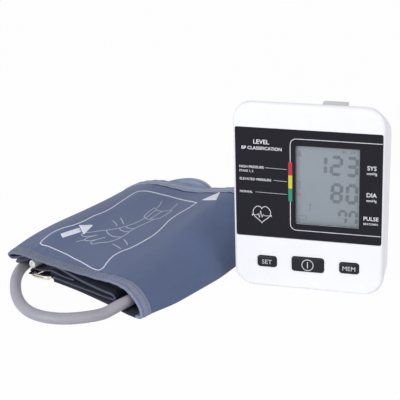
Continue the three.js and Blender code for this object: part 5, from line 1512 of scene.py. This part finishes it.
class MONITOR_OT_panel_print(PieceOperator):
    """White lettering, lines, heart and colour bar of the panel"""
    bl_idname = "monitor.panel_print"
    bl_label = "Panel print"

    def execute(self, context):
        finishes = settings(context)[2]
        parts = [text_part(words, size, x, z, 0.0, LETTER_THICK, BOLD if size > BOLD_FROM else LIGHT, align)
                 for words, x, z, size, align in LABELS]
        parts += [bar((x, z), (LEADER_END, z - LEADER_DROP), LEADER_LINE, PANEL_PRINT) for x, z in LEADERS]
        parts.append(line_print(self.border(), PANEL_LINE, PANEL_PRINT))
        parts.append(line_print(self.heart(), PANEL_LINE, PANEL_PRINT, closed=True))
        parts += [bar(a, b, PULSE_LINE, PANEL_PRINT) for a, b in zip(PULSE[:-1], PULSE[1:])]
        low, high = PULSE_END_Z
        parts += [bar((x, low), (x, high), PULSE_END_LINE, PANEL_PRINT) for x in PULSE_ENDS]
        piece("panel_print_white", on_face_all(parts), "monitor", "black_panel",
              ink("print_white", finishes.ink, 0.45), smooth=False)
        for name, low, high, colour in LEVELS:
            field = plate(LEVEL_WIDE, high - low, LEVEL_CORNER, BORDER_LEFT, (low + high) / 2, *LEVEL_DEPTHS,
                          LEVEL_RIM, 3)
            piece(f"panel_level_{name}", on_face_all([rings_solid(field)]), "monitor", "black_panel",
                  ink(f"print_{name}", colour, 0.42), smooth=False)
        return {"FINISHED"}

    def border(self):
        """Line round the screen, open to the right: two straights, a rounded corner between them and the left
        side, at the top and at the bottom."""
        middle = BORDER_LEFT + BORDER_CORNER
        cos, sin = BORDER_CORNER * np.cos(QUARTER), BORDER_CORNER * np.sin(QUARTER)
        top = np.column_stack([middle - cos, BORDER_HIGH - BORDER_CORNER + sin])[::-1]
        bottom = np.column_stack([middle - sin, BORDER_LOW + BORDER_CORNER - cos])[::-1]
        start, end = (BORDER_RIGHT, BORDER_HIGH), (BORDER_RIGHT, BORDER_LOW)
        return np.vstack([
            np.linspace(start, top[0], 8)[:-1], top, np.linspace(top[-1], bottom[0], 8)[1:-1], bottom,
            np.linspace(bottom[-1], end, 8)[1:]])

    def heart(self):
        """Heart outline: x goes with sin³ of an angle, z with 13 cos a - 3 cos 2a - 2 cos 3a - cos 4a."""
        a = np.linspace(0, 2 * np.pi, 90, endpoint=False)
        x = 16 * np.sin(a) ** 3
        z = 13 * np.cos(a) - 3 * np.cos(2 * a) - 2 * np.cos(3 * a) - np.cos(4 * a)
        return np.column_stack([HEART_X + x * HEART_WIDE, HEART_Z + z * HEART_TALL])


class MONITOR_OT_buttons(PieceOperator):
    """The three buttons with their legends"""
    bl_idname = "monitor.buttons"
    bl_label = "Buttons"

    def execute(self, context):
        sizes, _, finishes, _ = settings(context)
        black = moulded("button_black", finishes.key, 0.34, Specular_IOR_Level=0.3)
        white = ink("button_legend", (0.66, 0.67, 0.70))
        crown = sizes.key_crown / MM
        front, back = KEY_TOP - crown + LEGEND_DEPTHS[0], KEY_TOP + LEGEND_DEPTHS[1]
        for name, wide, tall, word in BUTTONS:
            low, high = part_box(f"{name}_button")
            x = (low[0] + high[0]) / 2 / MM
            stem = lathe(STEM_PROFILE, (x, STEM_FROM, BUTTON_Z), (0, 1.0, 0), 24)
            shape = [self.cap(x, wide, tall, sizes.key_rounding / MM, crown), rings_solid(stem)]
            rounded(piece(f"{name}_button_cap", on_face_all(shape), f"{name}_button", "button_black", black,
                          nodes=[f"{name}_button"]))
            if word:
                legend = [text_part(word, WORD_SIZE, x, BUTTON_Z - WORD_DROP, front + WORD_DEPTH, WORD_THICK,
                                    WORD_BOLD)]
            else:
                low, high = BUTTON_Z - SIGN_BAR, BUTTON_Z + SIGN_BAR
                sign = circle(x, BUTTON_Z, SIGN_RADIUS, 64)
                legend = [line_print(sign, SIGN_LINE, (front, back), closed=True),
                          bar((x, low), (x, high), SIGN_BAR_LINE, (front, back))]
            piece(f"{name}_button_legend", on_face_all(legend), f"{name}_button", "button_black", white,
                  smooth=False)
        return {"FINISHED"}

    def cap(self, x, wide, tall, radius, crown):
        """A button's cap: its back with a flange, its side with a rounded edge, and a face that bulges as the
        sine of the way to its middle."""
        levels = [*KEY_BACK, *rounding(radius, KEY_TOP, 1, 6)[::-1]]
        rings = stack(wide, tall, KEY_CORNER, x, BUTTON_Z, levels, 8)
        share = np.linspace(0, 1, 9)[1:-1, None, None]
        middle = np.array([x, KEY_TOP, BUTTON_Z])
        bulge = crown * np.sin(share * np.pi / 2) * (0, 1, 0)
        domes = middle + (rings[-1] - middle) * (1 - share) - bulge
        return rings_solid(np.concatenate([rings, domes]))


class MONITOR_OT_inside(PieceOperator):
    """Board, pump, tubes, cells and the other pieces inside, and the small ones at the back"""
    bl_idname = "monitor.inside"
    bl_label = "Inside and back"

    def execute(self, context):
        light = moulded("inner_light", (0.60, 0.60, 0.57), 0.55)
        dark = moulded("component_dark", (0.014, 0.014, 0.016), 0.42, grain=0.3 * MM)
        steel = metal("steel_plated", (0.60, 0.61, 0.63), 0.28, (1, 1, 18))
        can = metal("motor_can", (0.52, 0.53, 0.55), 0.30, (1, 1, 14))
        rubber = moulded("foot_rubber", (0.045, 0.045, 0.047), 0.75, grain=0.4 * MM, depth=0.04 * MM)
        tube = moulded("tube_silicone", (0.66, 0.67, 0.64), 0.4, grain=1.2 * MM)
        groups = (
            (light, "lcd_holder", "pressure_sensor", "pump_head", "air_socket", "air_tee"),
            (dark, "controller_chip", "buzzer", "release_valve", *(f"{name}_switch" for name, *_ in BUTTONS)),
            (steel, "contact_plate_low", "contact_plate_high", *(f"casing_screw_{k}" for k in range(1, 5))),
            (can, "pump_motor"),
            (rubber, *(f"rubber_foot_{k}" for k in range(1, 5))),
            (tube, "lcd_contact_strip", "pump_tube", "socket_tube", "valve_tube", "sensor_tube"),
            (circuit("board_mask"), "main_board"),
            (cell_sleeve("cell_sleeve_up", "battery_1", True), "battery_1", "battery_3"),
            (cell_sleeve("cell_sleeve_down", "battery_2", False), "battery_2", "battery_4"),
        )
        for material, *names in groups:
            for name in names:
                width = 0.0 if name.startswith(ROUND_NODES) else 0.2 * MM
                dressed(soften(frame["nodes"][name], width), material)
        return {"FINISHED"}


# The studio

class MONITOR_OT_stage(PieceOperator):
    """Pale floor, lamps and white surroundings"""
    bl_idname = "monitor.stage"
    bl_label = "Stage"

    def execute(self, context):
        studio = settings(context)[3]
        signs = ((-1, -1), (1, -1), (1, 1), (-1, 1))
        corners = [(x * FLOOR_HALF, y * FLOOR_HALF, FLOOR_HEIGHT) for x, y in signs]
        floor = put("floor", corners, [[0, 1, 2, 3]], smooth=False)
        if floor.data.polygons[0].normal.z < 0:
            floor.data.flip_normals()
        dressed(floor, self.floor_material())
        world = bpy.data.worlds.new("surroundings")
        world.use_nodes = True
        context.scene.world = world
        tree = world.node_tree
        seen = self.seen(tree)
        white, soft = tree.nodes["Background"], tree.nodes.new("ShaderNodeBackground")
        for shader, colour, strength in ((white, (1, 1, 1), 1.0), (soft, AMBIENT_COLOUR, studio.ambient)):
            shader.inputs["Color"].default_value = (*colour, 1)
            shader.inputs["Strength"].default_value = strength
        self.mixed(tree, seen, soft, white, "World Output")
        for name, place, size, colour in LAMPS:
            self.lamp(context, f"{name}_lamp", place, size, getattr(studio, f"{name}_power"), colour)
        context.scene.view_settings.view_transform = "Standard"
        return {"FINISHED"}

    def mixed(self, tree, share, first, second, output):
        """Two shaders mixed by a share, into the surface of the tree's output."""
        mix = tree.nodes.new("ShaderNodeMixShader")
        for source, socket in zip((share, first.outputs[0], second.outputs[0]), mix.inputs):
            tree.links.new(source, socket)
        tree.links.new(mix.outputs[0], tree.nodes[output].inputs["Surface"])

    def seen(self, tree):
        """One where a camera, a mirror or a clear ray looks, nought where light is gathered."""
        path = tree.nodes.new("ShaderNodeLightPath")
        total = path.outputs["Is Camera Ray"]
        for name in ("Is Glossy Ray", "Is Transmission Ray"):
            node = tree.nodes.new("ShaderNodeMath")
            node.operation = "MAXIMUM"
            tree.links.new(total, node.inputs[0])
            tree.links.new(path.outputs[name], node.inputs[1])
            total = node.outputs[0]
        return total

    def floor_material(self):
        """Matt pale floor that looks white where it is seen, and keeps a faint shadow."""
        material = bpy.data.materials.new("floor_pale")
        material.use_nodes = True
        tree = material.node_tree
        tree.nodes.remove(tree.nodes["Principled BSDF"])
        matt = tree.nodes.new("ShaderNodeBsdfDiffuse")
        matt.inputs["Color"].default_value = (*FLOOR_COLOUR, 1)
        glow = tree.nodes.new("ShaderNodeEmission")
        share = tree.nodes.new("ShaderNodeMath")
        share.operation = "MULTIPLY"
        tree.links.new(self.seen(tree), share.inputs[0])
        share.inputs[1].default_value = FLOOR_WHITE
        self.mixed(tree, share.outputs[0], matt, glow, "Material Output")
        return material

    def lamp(self, context, name, place, size, power, colour):
        """Soft round lamp that looks at the object's middle."""
        data = bpy.data.lights.new(name, "AREA")
        data.shape = "DISK"
        data.size = size
        data.energy = power
        data.color = colour
        obj = bpy.data.objects.new(name, data)
        context.scene.collection.objects.link(obj)
        back = unit(np.array(place) - LAMP_TARGET)
        side = unit(np.cross((0, 0, 1.0), back))
        above = np.cross(back, side)
        set_place(obj, side, above, back, place)


class MONITOR_PT_pieces(bpy.types.Panel):
    """Lists the pieces and their sizes"""
    bl_idname = "MONITOR_PT_pieces"
    bl_label = "Blood pressure monitor"
    bl_space_type = "VIEW_3D"
    bl_region_type = "UI"
    bl_category = "Monitor"

    def draw(self, context):
        for operator in ORDER:
            self.layout.operator(operator.bl_idname)
        for group in settings(context):
            box = self.layout.box()
            for name in group.__annotations__:
                box.prop(group, name)


ORDER = (
    MONITOR_OT_camera, MONITOR_OT_air_hose, MONITOR_OT_cuff_cloth, MONITOR_OT_bindings, MONITOR_OT_cuff_print,
    MONITOR_OT_free_end, MONITOR_OT_ring, MONITOR_OT_casing, MONITOR_OT_display, MONITOR_OT_panel_print,
    MONITOR_OT_buttons, MONITOR_OT_inside, MONITOR_OT_stage,
)
GROUPS = {"bp_monitor_sizes": MonitorSizes, "bp_cuff_sizes": CuffSizes, "bp_finishes": Finishes,
          "bp_studio": StudioSetting}


def register():
    """Registers the settings, the operators and the panel."""
    for name, group in GROUPS.items():
        bpy.utils.register_class(group)
        setattr(bpy.types.Scene, name, PointerProperty(type=group))
    for operator in ORDER:
        bpy.utils.register_class(operator)
    bpy.utils.register_class(MONITOR_PT_pieces)


def unregister():
    """Takes them out again, last first."""
    bpy.utils.unregister_class(MONITOR_PT_pieces)
    for operator in reversed(ORDER):
        bpy.utils.unregister_class(operator)
    for name, group in reversed(GROUPS.items()):
        delattr(bpy.types.Scene, name)
        bpy.utils.unregister_class(group)


def main():
    """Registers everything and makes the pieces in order."""
    register()
    bpy.ops.monitor.camera()
    bpy.ops.monitor.air_hose()
    bpy.ops.monitor.cuff_cloth()
    bpy.ops.monitor.bindings()
    bpy.ops.monitor.cuff_print()
    bpy.ops.monitor.free_end()
    bpy.ops.monitor.ring()
    bpy.ops.monitor.casing()
    bpy.ops.monitor.display()
    bpy.ops.monitor.panel_print()
    bpy.ops.monitor.buttons()
    bpy.ops.monitor.inside()
    bpy.ops.monitor.stage()


if __name__ == "__main__":
    main()
